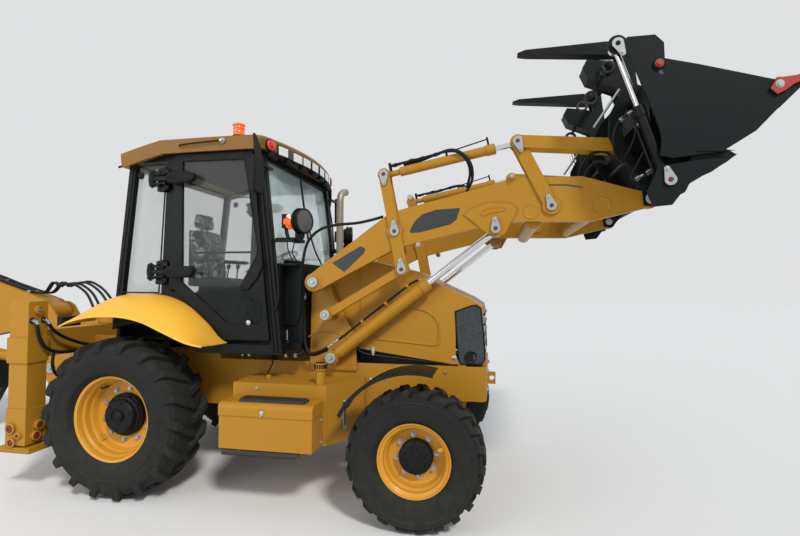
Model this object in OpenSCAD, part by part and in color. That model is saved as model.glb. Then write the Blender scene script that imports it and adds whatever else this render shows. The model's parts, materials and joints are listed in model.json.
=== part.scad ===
// Backhoe loader with a clam-type loader bucket, fold-over forks and a side-shift digging arm.
// Side view coordinates are millimetres ahead of the rear axle and above the ground.

/* [Wheels] */
// Distance between the rear and the front axle
wheelbase = 2350; // [2300:5:2400]
// Outer radius of a rear tyre at its lugs
rear_tyre_r = 616; // [600:1:620]
// Width of a rear tyre
rear_tyre_w = 440; // [400:5:450]
// Rim seat radius of a rear wheel
rear_rim_r = 305; // [290:1:320]
// Centre plane of a rear wheel from the middle of the machine
rear_track_half = 893; // [890:1:910]
// Outer radius of a front tyre at its lugs
front_tyre_r = 476; // [460:1:480]
// Width of a front tyre
front_tyre_w = 320; // [290:5:330]
// Rim seat radius of a front wheel
front_rim_r = 229; // [215:1:240]
// Centre plane of a front wheel from the middle of the machine
front_track_half = 975; // [965:1:990]
// Steering pivot from the middle of the machine
kingpin_half = 690; // [680:1:700]

/* [Chassis] */
// Outer face of the chassis side plates from the middle
chassis_half = 450; // [440:1:452]
// Thickness of chassis and tower plates
plate = 20; // [14:1:22]
// Underside of the chassis plates
chassis_low = 620; // [600:5:640]
// Top of the chassis plates
chassis_top = 1010; // [990:5:1015]
// Front face of the nose weight
nose_x = 2820; // [2790:5:2840]
// Width of the engine block
engine_w = 560; // [460:10:640]
// Length of the engine block
engine_l = 700; // [600:10:720]
// Height of the engine block
engine_h = 640; // [560:10:660]

/* [Loader pins] */
// Arm pivot on the tower, ahead of the rear axle
arm_pivot_x = 1475; // [1470:1:1485]
// Arm pivot on the tower, above the ground
arm_pivot_z = 1668; // [1660:1:1675]
// Levelling link pivot on the tower, ahead of the rear axle
link_pivot_x = 1580; // [1575:1:1585]
// Levelling link pivot on the tower, above the ground
link_pivot_z = 1412; // [1405:1:1418]
// Lift cylinder pivot on the tower, ahead of the rear axle
lift_pivot_x = 1597; // [1590:1:1605]
// Lift cylinder pivot on the tower, above the ground
lift_pivot_z = 1064; // [1060:1:1070]
// Radius of the loader pins
pin_r = 30; // [24:1:32]
// Length of a lift cylinder barrel from its pivot
lift_barrel_l = 985; // [960:5:1000]
// Radius of a lift cylinder barrel
lift_barrel_r = 52; // [46:1:54]
// Length of a tilt cylinder barrel from its pivot
tilt_barrel_l = 865; // [840:5:890]
// Radius of a tilt cylinder barrel
tilt_barrel_r = 36; // [30:1:38]

/* [Loader arms] */
// Inner face of an arm from the middle
arm_in = 608; // [606:1:610]
// Outer face of an arm from the middle
arm_out = 667; // [662:1:668]
// Thickness of the lever plates beside the arms
lever_plate = 12; // [8:1:13]
// Radius of the front cross tube between the arms
cross_tube_r = 60; // [45:1:62]

/* [Loader bucket] */
// Half of the width over the bucket side plates
bucket_half = 1130; // [1125:1:1150]
// Thickness of the bucket side plates
side_plate = 20; // [12:1:20]
// Thickness of the bucket floor
floor_plate = 24; // [16:1:28]
// Fork blade centre from the middle
fork_half = 506; // [490:1:510]
// Width of a fork blade
fork_w = 90; // [70:2:100]
// Length of a fork blade from its shaft
fork_l = 760; // [700:10:780]

/* [Cab] */
// Outer face of the cab sides from the middle
cab_half = 755; // [745:1:760]
// Thickness of the cab posts across the machine
post_t = 50; // [40:1:52]
// Width of the cab posts in the side view
post_w = 95; // [85:1:100]
// Underside of the roof
roof_low = 2730; // [2725:1:2740]
// Top of the roof
roof_top = 2847; // [2835:1:2860]
// Half of the roof width
roof_half = 830; // [810:5:840]
// Thickness of the window glass
glass_t = 6; // [4:1:8]
// Thickness of the bonnet panels
bonnet_t = 6; // [4:1:8]

/* [Tanks and steps] */
// Outer face of the side tanks from the middle
tank_half = 860; // [850:1:862]
// Top of the side tanks
tank_top = 900; // [890:1:910]
// Outer face of the toolboxes from the middle
box_half = 1080; // [1060:1:1090]
// Top of the toolbox body under its lid
box_top = 705; // [690:1:710]
// Height of the toolbox lid
lid_h = 95; // [80:1:100]

/* [Backhoe] */
// Rear face of the side-shift frame, behind the rear axle
frame_rear = 860; // [855:1:865]
// Outer face of the stabiliser tubes from the middle
leg_half = 1120; // [1110:1:1130]
// Width of the stabiliser tubes
leg_w = 170; // [165:1:180]
// Wall of the stabiliser tubes
leg_wall = 10; // [8:1:12]
// Swing axis of the kingpost, behind the rear axle
swing_back = 1250; // [1245:1:1260]
// Boom length from pin to pin
boom_l = 2648; // [2600:4:2680]
// Boom slope at rest, in degrees above the ground line
boom_slope = 12; // [11.5:0.1:12.5]
// Half of the boom width
boom_half = 115; // [105:1:118]
// Dipper length from pin to pin
dipper_l = 1600; // [1580:5:1620]
// Dipper slope at rest, in degrees below the ground line
dipper_slope = 50; // [49:0.5:51]
// Half of the dipper width
dipper_half = 77; // [70:1:78]
// Half of the digging bucket width
hoe_half = 300; // [250:5:330]
// Radius of the digging bucket from its pin to its tooth tips
hoe_r = 720; // [700:5:740]

/* [Hidden] */
$fn = 48;

ochre = [0.76, 0.52, 0.17];
amber = [0.95, 0.62, 0.13];
coal = [0.10, 0.11, 0.11];
chrome = [0.85, 0.86, 0.88];
tyre_grey = [0.16, 0.17, 0.18];
smoke = [0.35, 0.45, 0.45];

// Radial clearance of a running pin, and the gap between parts that move past each other
fit = 0.05;
gap = 5;
// Clearance of a piston rod in its gland
gland = 0.4;

// Loader pins in the side view
H = [arm_pivot_x, arm_pivot_z];
G = [link_pivot_x, link_pivot_z];
I = [lift_pivot_x, lift_pivot_z];
B = H + [657, 393];
C = B + [56, -292];
A = B + [-87, 443];
D = H + [1417, 402];
F = H + [1814, 560];
E = F + [-237, 479];
J = H + [2480, 590];
K = J + [-155, 382];

// Lanes across the machine: plates beside the arms, and the lift cylinders inboard of them
lever_in = arm_in - gap - lever_plate;
lever_out = arm_out + gap;
pin_end = lever_out + lever_plate + 8;
link_in = lever_in - gap - lever_plate;
link_out = lever_out + lever_plate + gap;
lift_y = chassis_half + plate + gap + 6 + lift_barrel_r;
arm_mid = (arm_in + arm_out) / 2;
lift_rod_r = 27;
tilt_rod_r = 20;
slim_pin_r = pin_r - 5;

// Clam bucket pins and the cutting edge
clam_pivot = J + [-77, 758];
clam_rod_pin = J + [-313, 904];
clam_base_pin = J + [-22, 39];
edge_tip = J + [710, 592];
floor_rear = J + [292, 247];
fork_shaft = J + [-135, 1142];
clam_y = bucket_half - side_plate - gap - 3 - 32;
rib_out = clam_y - 32 - 10;
clam_barrel_l = 510;

// Digging arm pins in the side view
P0 = [-1620, 1360];
P1 = P0 + boom_l * [-cos(boom_slope), sin(boom_slope)];
boom_ram_base = P0 + [120, -560];
boom_ram_top = P0 + [-1330, -380];
dipper_ram_base = P0 + [-1130, 570];
// Directions along the dipper and towards its outer side
du = [cos(dipper_slope), -sin(dipper_slope)];
dv = [-sin(dipper_slope), -cos(dipper_slope)];
P2 = P1 + dipper_l * du;
function on_dipper(u, v) = P1 + u * du + v * dv;
dipper_ear = on_dipper(-420, 0);
bucket_ram_base = on_dipper(200, 270);
tipping_base = on_dipper(dipper_l - 400, 0);
hoe_lug = P2 + 300 * [cos(270 - 50 + dipper_slope), sin(270 - 50 + dipper_slope)];
tipping_top = meet(tipping_base, 300, hoe_lug, 380);

// Crossing point of two circles, on the outer side of the dipper
function meet(p, r, q, s) =
  let (d = norm(q - p), a = (r * r - s * s + d * d) / (2 * d), h = sqrt(r * r - a * a),
       e = (q - p) / d)
  p + a * e + h * [e.y, -e.x];

// The origin is the middle of the whole length, on the ground
rear_end = P1.x - 420 * cos(dipper_slope) - 60;
front_end = edge_tip.x + 20;
middle_x = (front_end + rear_end) / 2;
module from_axle() translate([-middle_x, 0, 0]) children();

// Side outline extruded across the machine from y0 to y1
module slab(y0, y1) translate([0, y1, 0]) rotate([90, 0, 0]) linear_extrude(y1 - y0) children();
// Side outline kept between y0 and y1 on both sides of the machine
module slabs(y0, y1) {
  slab(y0, y1) children();
  slab(-y1, -y0) children();
}
module both_sides() {
  children();
  mirror([0, 1, 0]) children();
}
// Round bar across the machine
module bar(p, r, y0, y1) slab(y0, y1) translate(p) circle(r);
module bars(p, r, y0, y1) both_sides() bar(p, r, y0, y1);
// Round bar lying in the side plane at y, from distance a to distance b along p to q
module ram(p, q, y, r, a, b)
  translate([p.x, y, p.y]) rotate([0, 90 - atan2(q.y - p.y, q.x - p.x), 0])
  translate([0, 0, a]) cylinder(r = r, h = b - a);
// Straight strip of width w from p to q
module strip(p, q, w) {
  n = [p.y - q.y, q.x - p.x] / norm(q - p) * w / 2;
  polygon([p + n, p - n, q - n, q + n]);
}
module eye(p, r) translate(p) circle(r);
module block(x0, x1, y0, y1, z0, z1) translate([x0, y0, z0]) cube([x1 - x0, y1 - y0, z1 - z0]);
module blocks(x0, x1, y0, y1, z0, z1) both_sides() block(x0, x1, y0, y1, z0, z1);

// Barrel of a cylinder with its eye at p, bored for the rod; a slim neck runs from the eye to neck_l
module barrel(p, q, y, r, rod_r, eye_r, eye_half, hole_r, length, neck_l) difference() {
  union() {
    bar(p, eye_r, y - eye_half, y + eye_half);
    ram(p, q, y, eye_half - 3, eye_r - 8, neck_l + 1);
    ram(p, q, y, r, neck_l, length);
    ram(p, q, y, r + 5, length - 70, length - 5);
  }
  ram(p, q, y, rod_r + gland, neck_l + 20, length + 1);
  bar(p, hole_r + fit, y - eye_half - 1, y + eye_half + 1);
}
// Piston rod that ends in a plain boss at q
module rod(p, q, y, r, length, eye_r, eye_half) {
  bar(q, eye_r, y - eye_half, y + eye_half);
  ram(q, p, y, r, eye_r - 8, length);
}

// Chassis

bonnet_low = 1025;
bonnet_x0 = 1490;
bonnet_hinge = [bonnet_x0 + 20, 1815];
wide_half = chassis_half - 5;
tower_outline = [[1375, chassis_top - 60], [1385, 1560], [1420, H.y + 62], [H.x + 40, H.y + 75],
  [G.x + 70, G.y + 20], [1760, 1240], [1780, chassis_top - 60]];
side_outline = [[-frame_rear + 140, 1180], [-frame_rear + 140, chassis_low - 60], [-400, chassis_low],
  [nose_x - 470, chassis_low], [nose_x - 400, 740], [nose_x - 20, 740], [nose_x - 20, chassis_top],
  [560, chassis_top], [500, 1120], [-290, 1120], [-300, 1180]];

module chassis() color(ochre) from_axle() {
  difference() {
    union() {
      slabs(chassis_half - plate, chassis_half) polygon(side_outline);
      slabs(chassis_half, chassis_half + plate) {
        polygon(tower_outline);
        eye(I, 82);
      }
      // Bosses that carry the loader pins
      bars(H, 58, chassis_half + plate - 1, lever_in - gap);
      bars(G, 48, chassis_half + plate - 1, lever_in - gap);
      bars(H, pin_r, lever_in - gap - 1, pin_end);
      bars(G, pin_r, lever_in - gap - 1, pin_end);
      bars(I, pin_r, chassis_half + plate - 1, lift_y + 60);
      bars(I, 46, lift_y + 56, lift_y + 66);
      // Cross members, belly plate and the nose weight
      for (x = [-frame_rear + 150, -330, 620, 1400, 1640])
        block(x, x + 60, -chassis_half + plate, chassis_half - plate, chassis_low + 130, chassis_top - 140);
      block(1500, nose_x - 420, -chassis_half + plate, chassis_half - plate, chassis_low, chassis_low + 14);
      block(nose_x - 400, nose_x, -chassis_half + 5, chassis_half - 5, 745, chassis_top - 5);
      // Axle carriers
      block(wheelbase - 70, wheelbase + 70, -60, 60, 560, 750);
      // Brackets to the side tanks
      blocks(1000, 1060, chassis_half - 1, chassis_half + 20, 640, 860);
      blocks(1540, 1600, chassis_half - 1, chassis_half + 20, 640, 860);
      // Bonnet hinge on a tie between the towers, and the bonnet's rests
      block(1460, 1482, -chassis_half, chassis_half, 1600, 1730);
      slabs(305, 320) {
        strip(bonnet_hinge, bonnet_hinge + [-39, -125], 20);
        eye(bonnet_hinge, 12);
      }
      bar(bonnet_hinge, 10, -321, 321);
      blocks(2600, 2660, 425, wide_half, chassis_top - 6, bonnet_low + 0.5);
      // Front towing eye
      block(nose_x - 1, nose_x + 70, -20, 20, 800, 900);
    }
    translate([nose_x + 38, 21, 850]) rotate([90, 0, 0]) cylinder(r = 22, h = 42);
    // Seats of the rear axle
    translate([0, 500, rear_tyre_r]) rotate([90, 0, 0]) cylinder(r = 100, h = 1000);
  }
}

module engine_block() color(coal) from_axle()
  block(nose_x - 400 - engine_l, nose_x - 400, -engine_w / 2, engine_w / 2, 780, 780 + engine_h);

module axles() color(coal) from_axle() {
  // Rear axle with its drive casing, under the chassis plates
  rotate([90, 0, 0]) {
    translate([0, rear_tyre_r, -560]) cylinder(r = 100, h = 1120);
    translate([0, rear_tyre_r, -rear_track_half - 30]) cylinder(r = 62, h = 2 * rear_track_half + 60);
  }
  translate([0, 0, rear_tyre_r]) sphere(r = 190);
  // Front axle beam with a fork at each end for its steering knuckle
  difference() {
    union() {
      block(wheelbase - 60, wheelbase + 60, -kingpin_half + 75, kingpin_half - 75, front_tyre_r - 75, front_tyre_r + 75);
      block(wheelbase - 45, wheelbase + 45, -45, 45, front_tyre_r + 74, 560);
      blocks(wheelbase - 55, wheelbase + 55, kingpin_half - 80, kingpin_half + 50, front_tyre_r + 82, front_tyre_r + 112);
      blocks(wheelbase - 55, wheelbase + 55, kingpin_half - 80, kingpin_half + 50, front_tyre_r - 112, front_tyre_r - 82);
      blocks(wheelbase - 55, wheelbase + 55, kingpin_half - 100, kingpin_half - 75, front_tyre_r - 112, front_tyre_r + 112);
    }
    both_sides() translate([wheelbase, kingpin_half, front_tyre_r - 130]) cylinder(r = pin_r + fit, h = 260);
  }
}

// The tank's outer face slants inwards from tank_bend to tank_front, behind the front wheel
tank_bend = wheelbase - 695;
tank_front = wheelbase - 500;
function tank_y(x) = tank_half + (x - tank_bend) / (tank_front - tank_bend) * (chassis_half + 60 - tank_half);
module tank_outline() polygon([[905, chassis_half + 20], [905, tank_half], [tank_bend, tank_half],
  [tank_front, chassis_half + 60], [tank_front, chassis_half + 20]]);
box_x0 = 920;
box_x1 = 1632;
lid_hinge_y = tank_half + 26;
module side_tanks() color(ochre) from_axle() {
  both_sides() {
    translate([0, 0, 458]) linear_extrude(tank_top - 458) tank_outline();
    // Filler neck and cap
    translate([1590, tank_half - 60, tank_top - 1]) cylinder(r = 34, h = 110);
    translate([1590, tank_half - 60, tank_top + 108]) cylinder(r = 46, h = 52);
    // Toolbox and the step under it
    difference() {
      block(box_x0, box_x1, tank_half - 1, box_half, 470, box_top);
      block(box_x0 + 8, box_x1 - 8, tank_half + 8, box_half - 8, 478, box_top + 1);
    }
    block(box_x0 + 20, box_x1 - 90, box_half - 130, box_half - 20, 435, 471);
  }
  // The left box stays closed
  block(box_x0 + 4, box_x1 - 4, tank_half - 1, box_half - 4, box_top - 3, box_top + 1);
  lid_shape();
}
module lid_shape() difference() {
  block(box_x0 - 4, box_x1 + 4, lid_hinge_y - 2, box_half + 6, box_top + 0.4, box_top + lid_h);
  // Rounded outer edge
  translate([box_x0 - 5, box_half - 34, box_top + lid_h - 40]) rotate([0, 90, 0]) difference() {
    translate([-41, 0, 0]) cube([41, 41, box_x1 - box_x0 + 10]);
    translate([0, 0, -1]) cylinder(r = 40, h = box_x1 - box_x0 + 12);
  }
}
module toolbox_lid() color(ochre) from_axle() mirror([0, 1, 0]) {
  lid_shape();
  block(box_x0 + 140, box_x1 - 130, tank_half + 70, box_half - 50, box_top + lid_h - 1, box_top + lid_h + 14);
}

// Cab

cab_rear_low = -285;
cab_rear_top = -125;
b_low = 170;
b_top = 225;
a_low = 1262;
a_top = 1082;
sill_top = 1195;
nose_half = 590;
floor_z = 1180;
arch_r = rear_tyre_r + 90;

// Post between two heights, with its rear edge at x0 below and x1 above
module post(x0, z0, x1, z1, w) polygon([[x0, z0], [x0 + w, z0], [x1 + w, z1], [x1, z1]]);
module arch_cut() translate([0, rear_tyre_r]) circle(arch_r);
module cab_side() difference() {
  union() {
    post(cab_rear_low, 1120, cab_rear_top, roof_low, 60);
    post(b_low, 1120, b_top, roof_low, post_w);
    post(a_low - post_w, 1100, a_top - post_w, roof_low, post_w);
    polygon([[cab_rear_low + 20, 1120], [cab_rear_low + 75, 1560], [b_low + 40, 1575], [345, 1600], [745, 1270],
      [775, 1190], [775, 1100], [560, 1100]]);
    polygon([[cab_rear_top + 15, 2665], [cab_rear_top + 20, roof_low], [a_top - 20, roof_low], [a_top - 20, 2680]]);
    polygon([[500, 1100], [500, sill_top - 20], [a_low - 20, sill_top - 20], [a_low - 20, 1100]]);
  }
  arch_cut();
}
module cab_frame() color(coal) from_axle() {
  slabs(cab_half - post_t, cab_half) cab_side();
  // Inner wheel wells, floor, rear wall and cross rails
  slabs(cab_half - post_t - 90, cab_half - post_t + 10) difference() {
    polygon([[cab_rear_low + 30, 1120], [cab_rear_low + 60, 1470], [b_low, 1470], [560, 1290], [600, 1120]]);
    arch_cut();
  }
  block(cab_rear_low, 1360, -cab_half + post_t + 80, cab_half - post_t - 80, 1120, floor_z);
  block(620, a_low - 30, -cab_half + post_t - 10, cab_half - post_t + 10, 1120, floor_z);
  slab(-cab_half + post_t + 10, cab_half - post_t - 10) {
    post(cab_rear_low, 1150, cab_rear_low + 41, 1560, 30);
    post(cab_rear_top - 12, 2640, cab_rear_top, roof_low, 60);
    post(a_top - 60, 2655, a_top - 68, roof_low, 60);
  }
  // Narrow nose under the windscreen
  slabs(nose_half - 20, nose_half) polygon([[a_low - 20, 1120], [a_low - 60, 1820], [1360, 1820], [1360, 1120]]);
  block(1340, 1360, -nose_half + 20, nose_half - 20, 1120, 1820);
  block(1148, 1341, -cab_half + post_t, cab_half - post_t, 1802, 1820);
  blocks(a_low - 75, a_low - 50, nose_half - 10, cab_half - post_t + 10, 1130, 1810);
  both_sides() {
    // Joints between the rear rails and the posts
    block(cab_rear_top, cab_rear_top + 45, cab_half - post_t - 15, cab_half - post_t + 10, 2682, roof_low);
    block(a_top - 66, a_top - 25, cab_half - post_t - 15, cab_half - post_t + 10, 2700, roof_low);
    block(cab_rear_low + 20, cab_rear_low + 44, cab_half - post_t - 15, cab_half - post_t + 10, 1300, 1400);
    // Door hinge pins on their brackets
    for (z = [2510, 1750]) {
      translate([hinge_x, hinge_y, z - 46]) cylinder(r = 12, h = 92);
      for (s = [z - 46, z + 32]) {
        block(hinge_x - 20, b_top + 30, cab_half - 1, hinge_y + 15, s, s + 14);
      }
    }
    // Brackets of the work lamps and the mirrors
    block(1120, 1340, cab_half - 40, cab_half - 10, 1985, 2010);
    block(1310, 1340, 600, cab_half - 10, 1985, 2010);
    block(1310, 1340, 625, 655, 2009, 2079);
    block(1080, 1150, cab_half - 30, cab_half - 5, 2560, 2580);
    block(1120, 1150, cab_half - 30, cab_half + 125, 2560, 2580);
  }
}

module roof_outline() polygon([[-215, 2650], [-215, 2745], [170, roof_top - 4], [1075, roof_top],
  [1215, roof_top - 20], [1225, roof_top - 110], [1085, roof_low], [234, roof_low], [-60, 2665]]);
module cab_roof() color(ochre) from_axle() {
  difference() {
    slab(-roof_half, roof_half) roof_outline();
    // Hollow underside between the posts
    slab(-cab_half + post_t, cab_half - post_t)
      polygon([[-60, 2600], [-60, 2715], [200, roof_top - 45], [1000, roof_top - 45], [1000, 2600]]);
    slab(-cab_half - 2, cab_half + 2) polygon([[-150, 2600], [-150, roof_low], [300, roof_low], [300, 2600]]);
  }
  // Beacon
  translate([831, -700, roof_top - 6]) cylinder(r = 52, h = 124);
}

// Panes against the inner faces of the side frames, the windscreen and the rear window
module cab_glass() color(smoke) from_axle() {
  slabs(cab_half - post_t - glass_t, cab_half - post_t)
    polygon([[cab_rear_low + 85, 1530], [cab_rear_top + 45, 2678], [b_top + 20, 2678], [b_low + 40, 1530]]);
  slab(-cab_half + post_t, cab_half - post_t) post(a_low - 110, 1820, a_top - 35, 2655, glass_t);
  slab(-cab_half + post_t + 10, cab_half - post_t - 10) post(cab_rear_low + 46, 1560, cab_rear_top - 10, 2640, glass_t);
}

// Doors: a bent lower rear corner follows the wheel arch
door_x0 = b_low + post_w + 6;
door_y0 = cab_half + 2;
door_y1 = cab_half + 30;
module door_outline() polygon([[door_x0, 1614], [b_top + post_w - 9, roof_low - 7], [a_top - 82, roof_low - 7],
  [a_low - 102, 1212], [770, 1212], [735, 1268], [335, 1598]]);
module window_outline() polygon([[394, 1664], [b_top + post_w + 60, roof_low - 75], [a_top - 152, roof_low - 75],
  [a_low - 200, 1330], [783, 1330]]);
hinge_x = 130;
hinge_y = cab_half + 60;
module door_arm(z) {
  block(hinge_x - 24, hinge_x + 370, hinge_y - 12, hinge_y + 16, z - 22, z + 22);
  block(hinge_x + 188, hinge_x + 240, door_y1 - 1, hinge_y - 11, z - 20, z + 20);
  translate([hinge_x, hinge_y, z - 30]) cylinder(r = 30, h = 60);
}
module door() {
  slab(door_y0, door_y1) difference() {
    door_outline();
    window_outline();
  }
  slab(door_y0 + 10, door_y0 + 10 + glass_t) window_outline();
  difference() {
    union() {
      door_arm(2510);
      door_arm(1750);
    }
    translate([hinge_x, hinge_y, 1600]) cylinder(r = 12 + fit, h = 1100);
  }
}
module door_left() color(coal) from_axle() door();
module door_right() color(coal) from_axle() mirror([0, 1, 0]) door();

module seat() {
  block(130, 630, -240, 240, 1560, 1680);
  slab(-230, 230) polygon([[100, 1640], [220, 1640], [130, 2180], [40, 2180]]);
  slab(-120, 120) polygon([[45, 2178], [125, 2178], [110, 2340], [30, 2340]]);
  block(230, 540, -150, 150, floor_z, 1561);
}

module controls() {
  blocks(330, 760, 300, 430, floor_z, 1790);
  slab(-60, 60) polygon([[1060, floor_z], [1130, floor_z], [930, 1870], [880, 1850]]);
  translate([890, 0, 1850]) rotate([0, -30, 0]) {
    difference() {
      cylinder(r = 190, h = 26);
      translate([0, 0, -1]) cylinder(r = 166, h = 30);
    }
    translate([-170, -16, 3]) cube([340, 32, 20]);
    cylinder(r = 50, h = 30);
  }
}

module cab_interior() color(coal) from_axle() {
  seat();
  controls();
}

// Exhaust stack, work lamps and mirrors
module fittings() color(coal) from_axle() {
  translate([1418, 170, chassis_top - 140]) cylinder(r = 34, h = 1600);
  translate([1418, 170, chassis_top + 1430]) rotate([-25, 0, 0]) cylinder(r = 29, h = 145);
  both_sides() {
    translate([1300, 640, 2141]) rotate([0, 90, 0]) cylinder(r = 62, h = 80);
    block(1120, 1150, cab_half + 125, cab_half + 285, 2330, 2620);
  }
}

// Rear fenders: each station holds its distance ahead of the axle and its inner and outer heights
// [x, inner_z, outer_z]
fender_stations = [[-440, 1345, 1325], [-300, 1490, 1382], [-120, 1565, 1408], [80, 1572, 1410],
  [270, 1548, 1378], [460, 1458, 1300], [600, 1318, 1232], [700, 1200, 1196], [790, 1186, 1192]];
fender_in = cab_half;
fender_out = 1110;
module fender_end(s) translate([s[0], 0, 0]) rotate([90, 0, 90]) linear_extrude(1)
  polygon([[fender_in, s[1] - 26], [fender_in, s[1]], [fender_in + 190, (s[1] * 2 + s[2]) / 3 + 10],
    [fender_out, s[2]], [fender_out, s[2] - 26], [fender_in + 186, (s[1] * 2 + s[2]) / 3 - 18]]);
// Front mudguard arc over a front tyre
guard_r = front_tyre_r + 116;
rod_x = wheelbase - 535;
module guard() difference() {
  translate([wheelbase, front_track_half - 150, front_tyre_r]) rotate([-90, 0, 0])
    difference() {
      cylinder(r = guard_r + 6, h = 280);
      translate([0, 0, -1]) cylinder(r = guard_r, h = 282);
    }
  block(wheelbase - 700, wheelbase + 700, 700, 1300, -200, 738);
  block(wheelbase + 130, wheelbase + 700, 700, 1300, 0, 1200);
}
module fenders() color(amber) from_axle() both_sides() {
  for (i = [0 : len(fender_stations) - 2]) hull() {
    fender_end(fender_stations[i]);
    fender_end(fender_stations[i + 1]);
  }
  guard();
  // Rod from the slanted tank front to the mudguard
  translate([0, 0, front_tyre_r + 296]) linear_extrude(22)
    polygon([[rod_x, tank_y(rod_x)], [rod_x + 21, tank_y(rod_x + 21)], [rod_x + 21, front_track_half - 130],
      [rod_x, front_track_half - 130]]);
}

// Bonnet: a shell that tilts up at its rear edge
bonnet_half = chassis_half - plate - 5;
bonnet_line = [[bonnet_x0, 1150], [bonnet_x0, 1835], [1905, 1845], [2220, 1765], [2700, 1540], [2790, 1480],
  [2800, bonnet_low + 5], [2560, bonnet_low], [1780, 1130]];
bonnet_core = [[bonnet_x0 - 1, 1100], [bonnet_x0 - 1, 1829], [1902, 1839], [2217, 1759], [2697, 1534], [2784, 1476],
  [2794, bonnet_low + 5], [2560, bonnet_low - 20], [1780, 1100]];
module bonnet() color(ochre) from_axle() difference() {
  union() {
    slab(-bonnet_half, bonnet_half) polygon(bonnet_line);
    // Wider front part, clear of the towers
    slab(-wide_half, wide_half) intersection() {
      polygon(bonnet_line);
      translate([1800, 0]) square([1200, 2000]);
    }
    bar(bonnet_hinge, 16, -300, 300);
  }
  slab(-bonnet_half + bonnet_t, bonnet_half - bonnet_t) polygon(bonnet_core);
  slab(-wide_half + bonnet_t, wide_half - bonnet_t) intersection() {
    polygon(bonnet_core);
    translate([1806, 0]) square([1200, 2000]);
  }
  // Opening for the grille
  slab(-340, 340) polygon([[2760, bonnet_low + 40], [2900, bonnet_low + 40], [2900, 1450], [2760, 1450]]);
  slabs(wide_half - bonnet_t - 1, wide_half + 1) polygon([[2580, bonnet_low + 40], [2730, bonnet_low + 40], [2700, 1450], [2580, 1440]]);
  bar(bonnet_hinge, 10 + fit, -301, 301);
}
module grille() color(coal) from_axle() {
  difference() {
    block(2780, 2786, -340, 340, bonnet_low + 40, 1450);
    for (z = [bonnet_low + 75 : 58 : 1400]) block(2779, 2787, -300, 300, z, z + 30);
  }
  slabs(wide_half - bonnet_t - 7, wide_half - bonnet_t)
    polygon([[2575, bonnet_low + 35], [2735, bonnet_low + 35], [2705, 1455], [2575, 1445]]);
}

// Wheels

module wheel_place(x, y, z) translate([x, y, z]) rotate([90, 0, 0]) children();
// Rim with a dished disc; the outer side is +z
module rim_shape(seat_r, w, disc_z, hub_r, hole_r) rotate_extrude($fn = 96) difference() {
  union() {
    // Flanges, seats and the well between them
    polygon([[seat_r - 12, -w / 2], [seat_r + 22, -w / 2], [seat_r + 22, -w / 2 + 14], [seat_r, -w / 2 + 14],
      [seat_r, w / 2 - 14], [seat_r + 22, w / 2 - 14], [seat_r + 22, w / 2], [seat_r - 12, w / 2]]);
    polygon([[hub_r - 40, disc_z], [seat_r - 11, disc_z - 20], [seat_r - 11, disc_z - 4], [hub_r - 40, disc_z + 18]]);
    translate([hole_r, disc_z - 60]) square([hub_r - hole_r, 130]);
  }
  translate([0, -500]) square([hole_r, 1000]);
}
module tyre_shape(r, seat_r, w) rotate_extrude($fn = 96) polygon([
  [seat_r + 0.3, -w / 2 + 62], [seat_r + 23, -w / 2 + 54], [seat_r + 60, -w / 2 + 8], [seat_r + (r - seat_r) * 0.6, -w / 2],
  [r - 60, -w / 2 + 14], [r - 12, -w / 2 + 50], [r, -w / 2 + 90], [r, w / 2 - 90], [r - 12, w / 2 - 50],
  [r - 60, w / 2 - 14], [seat_r + (r - seat_r) * 0.6, w / 2], [seat_r + 60, w / 2 - 8], [seat_r + 23, w / 2 - 54],
  [seat_r + 0.3, w / 2 - 62]]);
rear_rim_w = rear_tyre_w - 80;
front_rim_w = front_tyre_w - 80;
hub_bore = 62;
front_bore = 48;
module rear_wheel_at(side) wheel_place(0, side * rear_track_half, rear_tyre_r)
  mirror([0, 0, side > 0 ? 1 : 0]) children();
module front_wheel_at(side) wheel_place(wheelbase, side * front_track_half, front_tyre_r)
  mirror([0, 0, side > 0 ? 1 : 0]) children();
module rear_rim() rim_shape(rear_rim_r, rear_rim_w, -20, 170, hub_bore + fit);
module front_rim() rim_shape(front_rim_r, front_rim_w, -30, 120, front_bore + fit);
module rim_rear_right() color(amber) from_axle() rear_wheel_at(-1) rear_rim();
module rim_rear_left() color(amber) from_axle() rear_wheel_at(1) rear_rim();
module rim_front_right() color(amber) from_axle() front_wheel_at(-1) front_rim();
module rim_front_left() color(amber) from_axle() front_wheel_at(1) front_rim();
module rear_tyre() tyre_shape(rear_tyre_r, rear_rim_r, rear_tyre_w);
module front_tyre() tyre_shape(front_tyre_r, front_rim_r, front_tyre_w);
module tyre_rear_right() color(tyre_grey) from_axle() rear_wheel_at(-1) rear_tyre();
module tyre_rear_left() color(tyre_grey) from_axle() rear_wheel_at(1) rear_tyre();
module tyre_front_right() color(tyre_grey) from_axle() front_wheel_at(-1) front_tyre();
module tyre_front_left() color(tyre_grey) from_axle() front_wheel_at(1) front_tyre();

// Steering knuckle with its kingpin and the wheel spindle
module knuckle() {
  translate([wheelbase, kingpin_half, front_tyre_r - 76]) cylinder(r = 46, h = 152);
  translate([wheelbase, kingpin_half, front_tyre_r - 118]) cylinder(r = pin_r, h = 236);
  translate([wheelbase, kingpin_half, front_tyre_r]) rotate([-90, 0, 0]) cylinder(r = 44, h = 150);
  translate([wheelbase, kingpin_half + 149, front_tyre_r]) rotate([-90, 0, 0])
    cylinder(r = front_bore, h = front_track_half - kingpin_half - 149 + 55);
}
module knuckle_left() color(coal) from_axle() knuckle();
module knuckle_right() color(coal) from_axle() mirror([0, 1, 0]) knuckle();

// Loader arms and linkage

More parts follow.
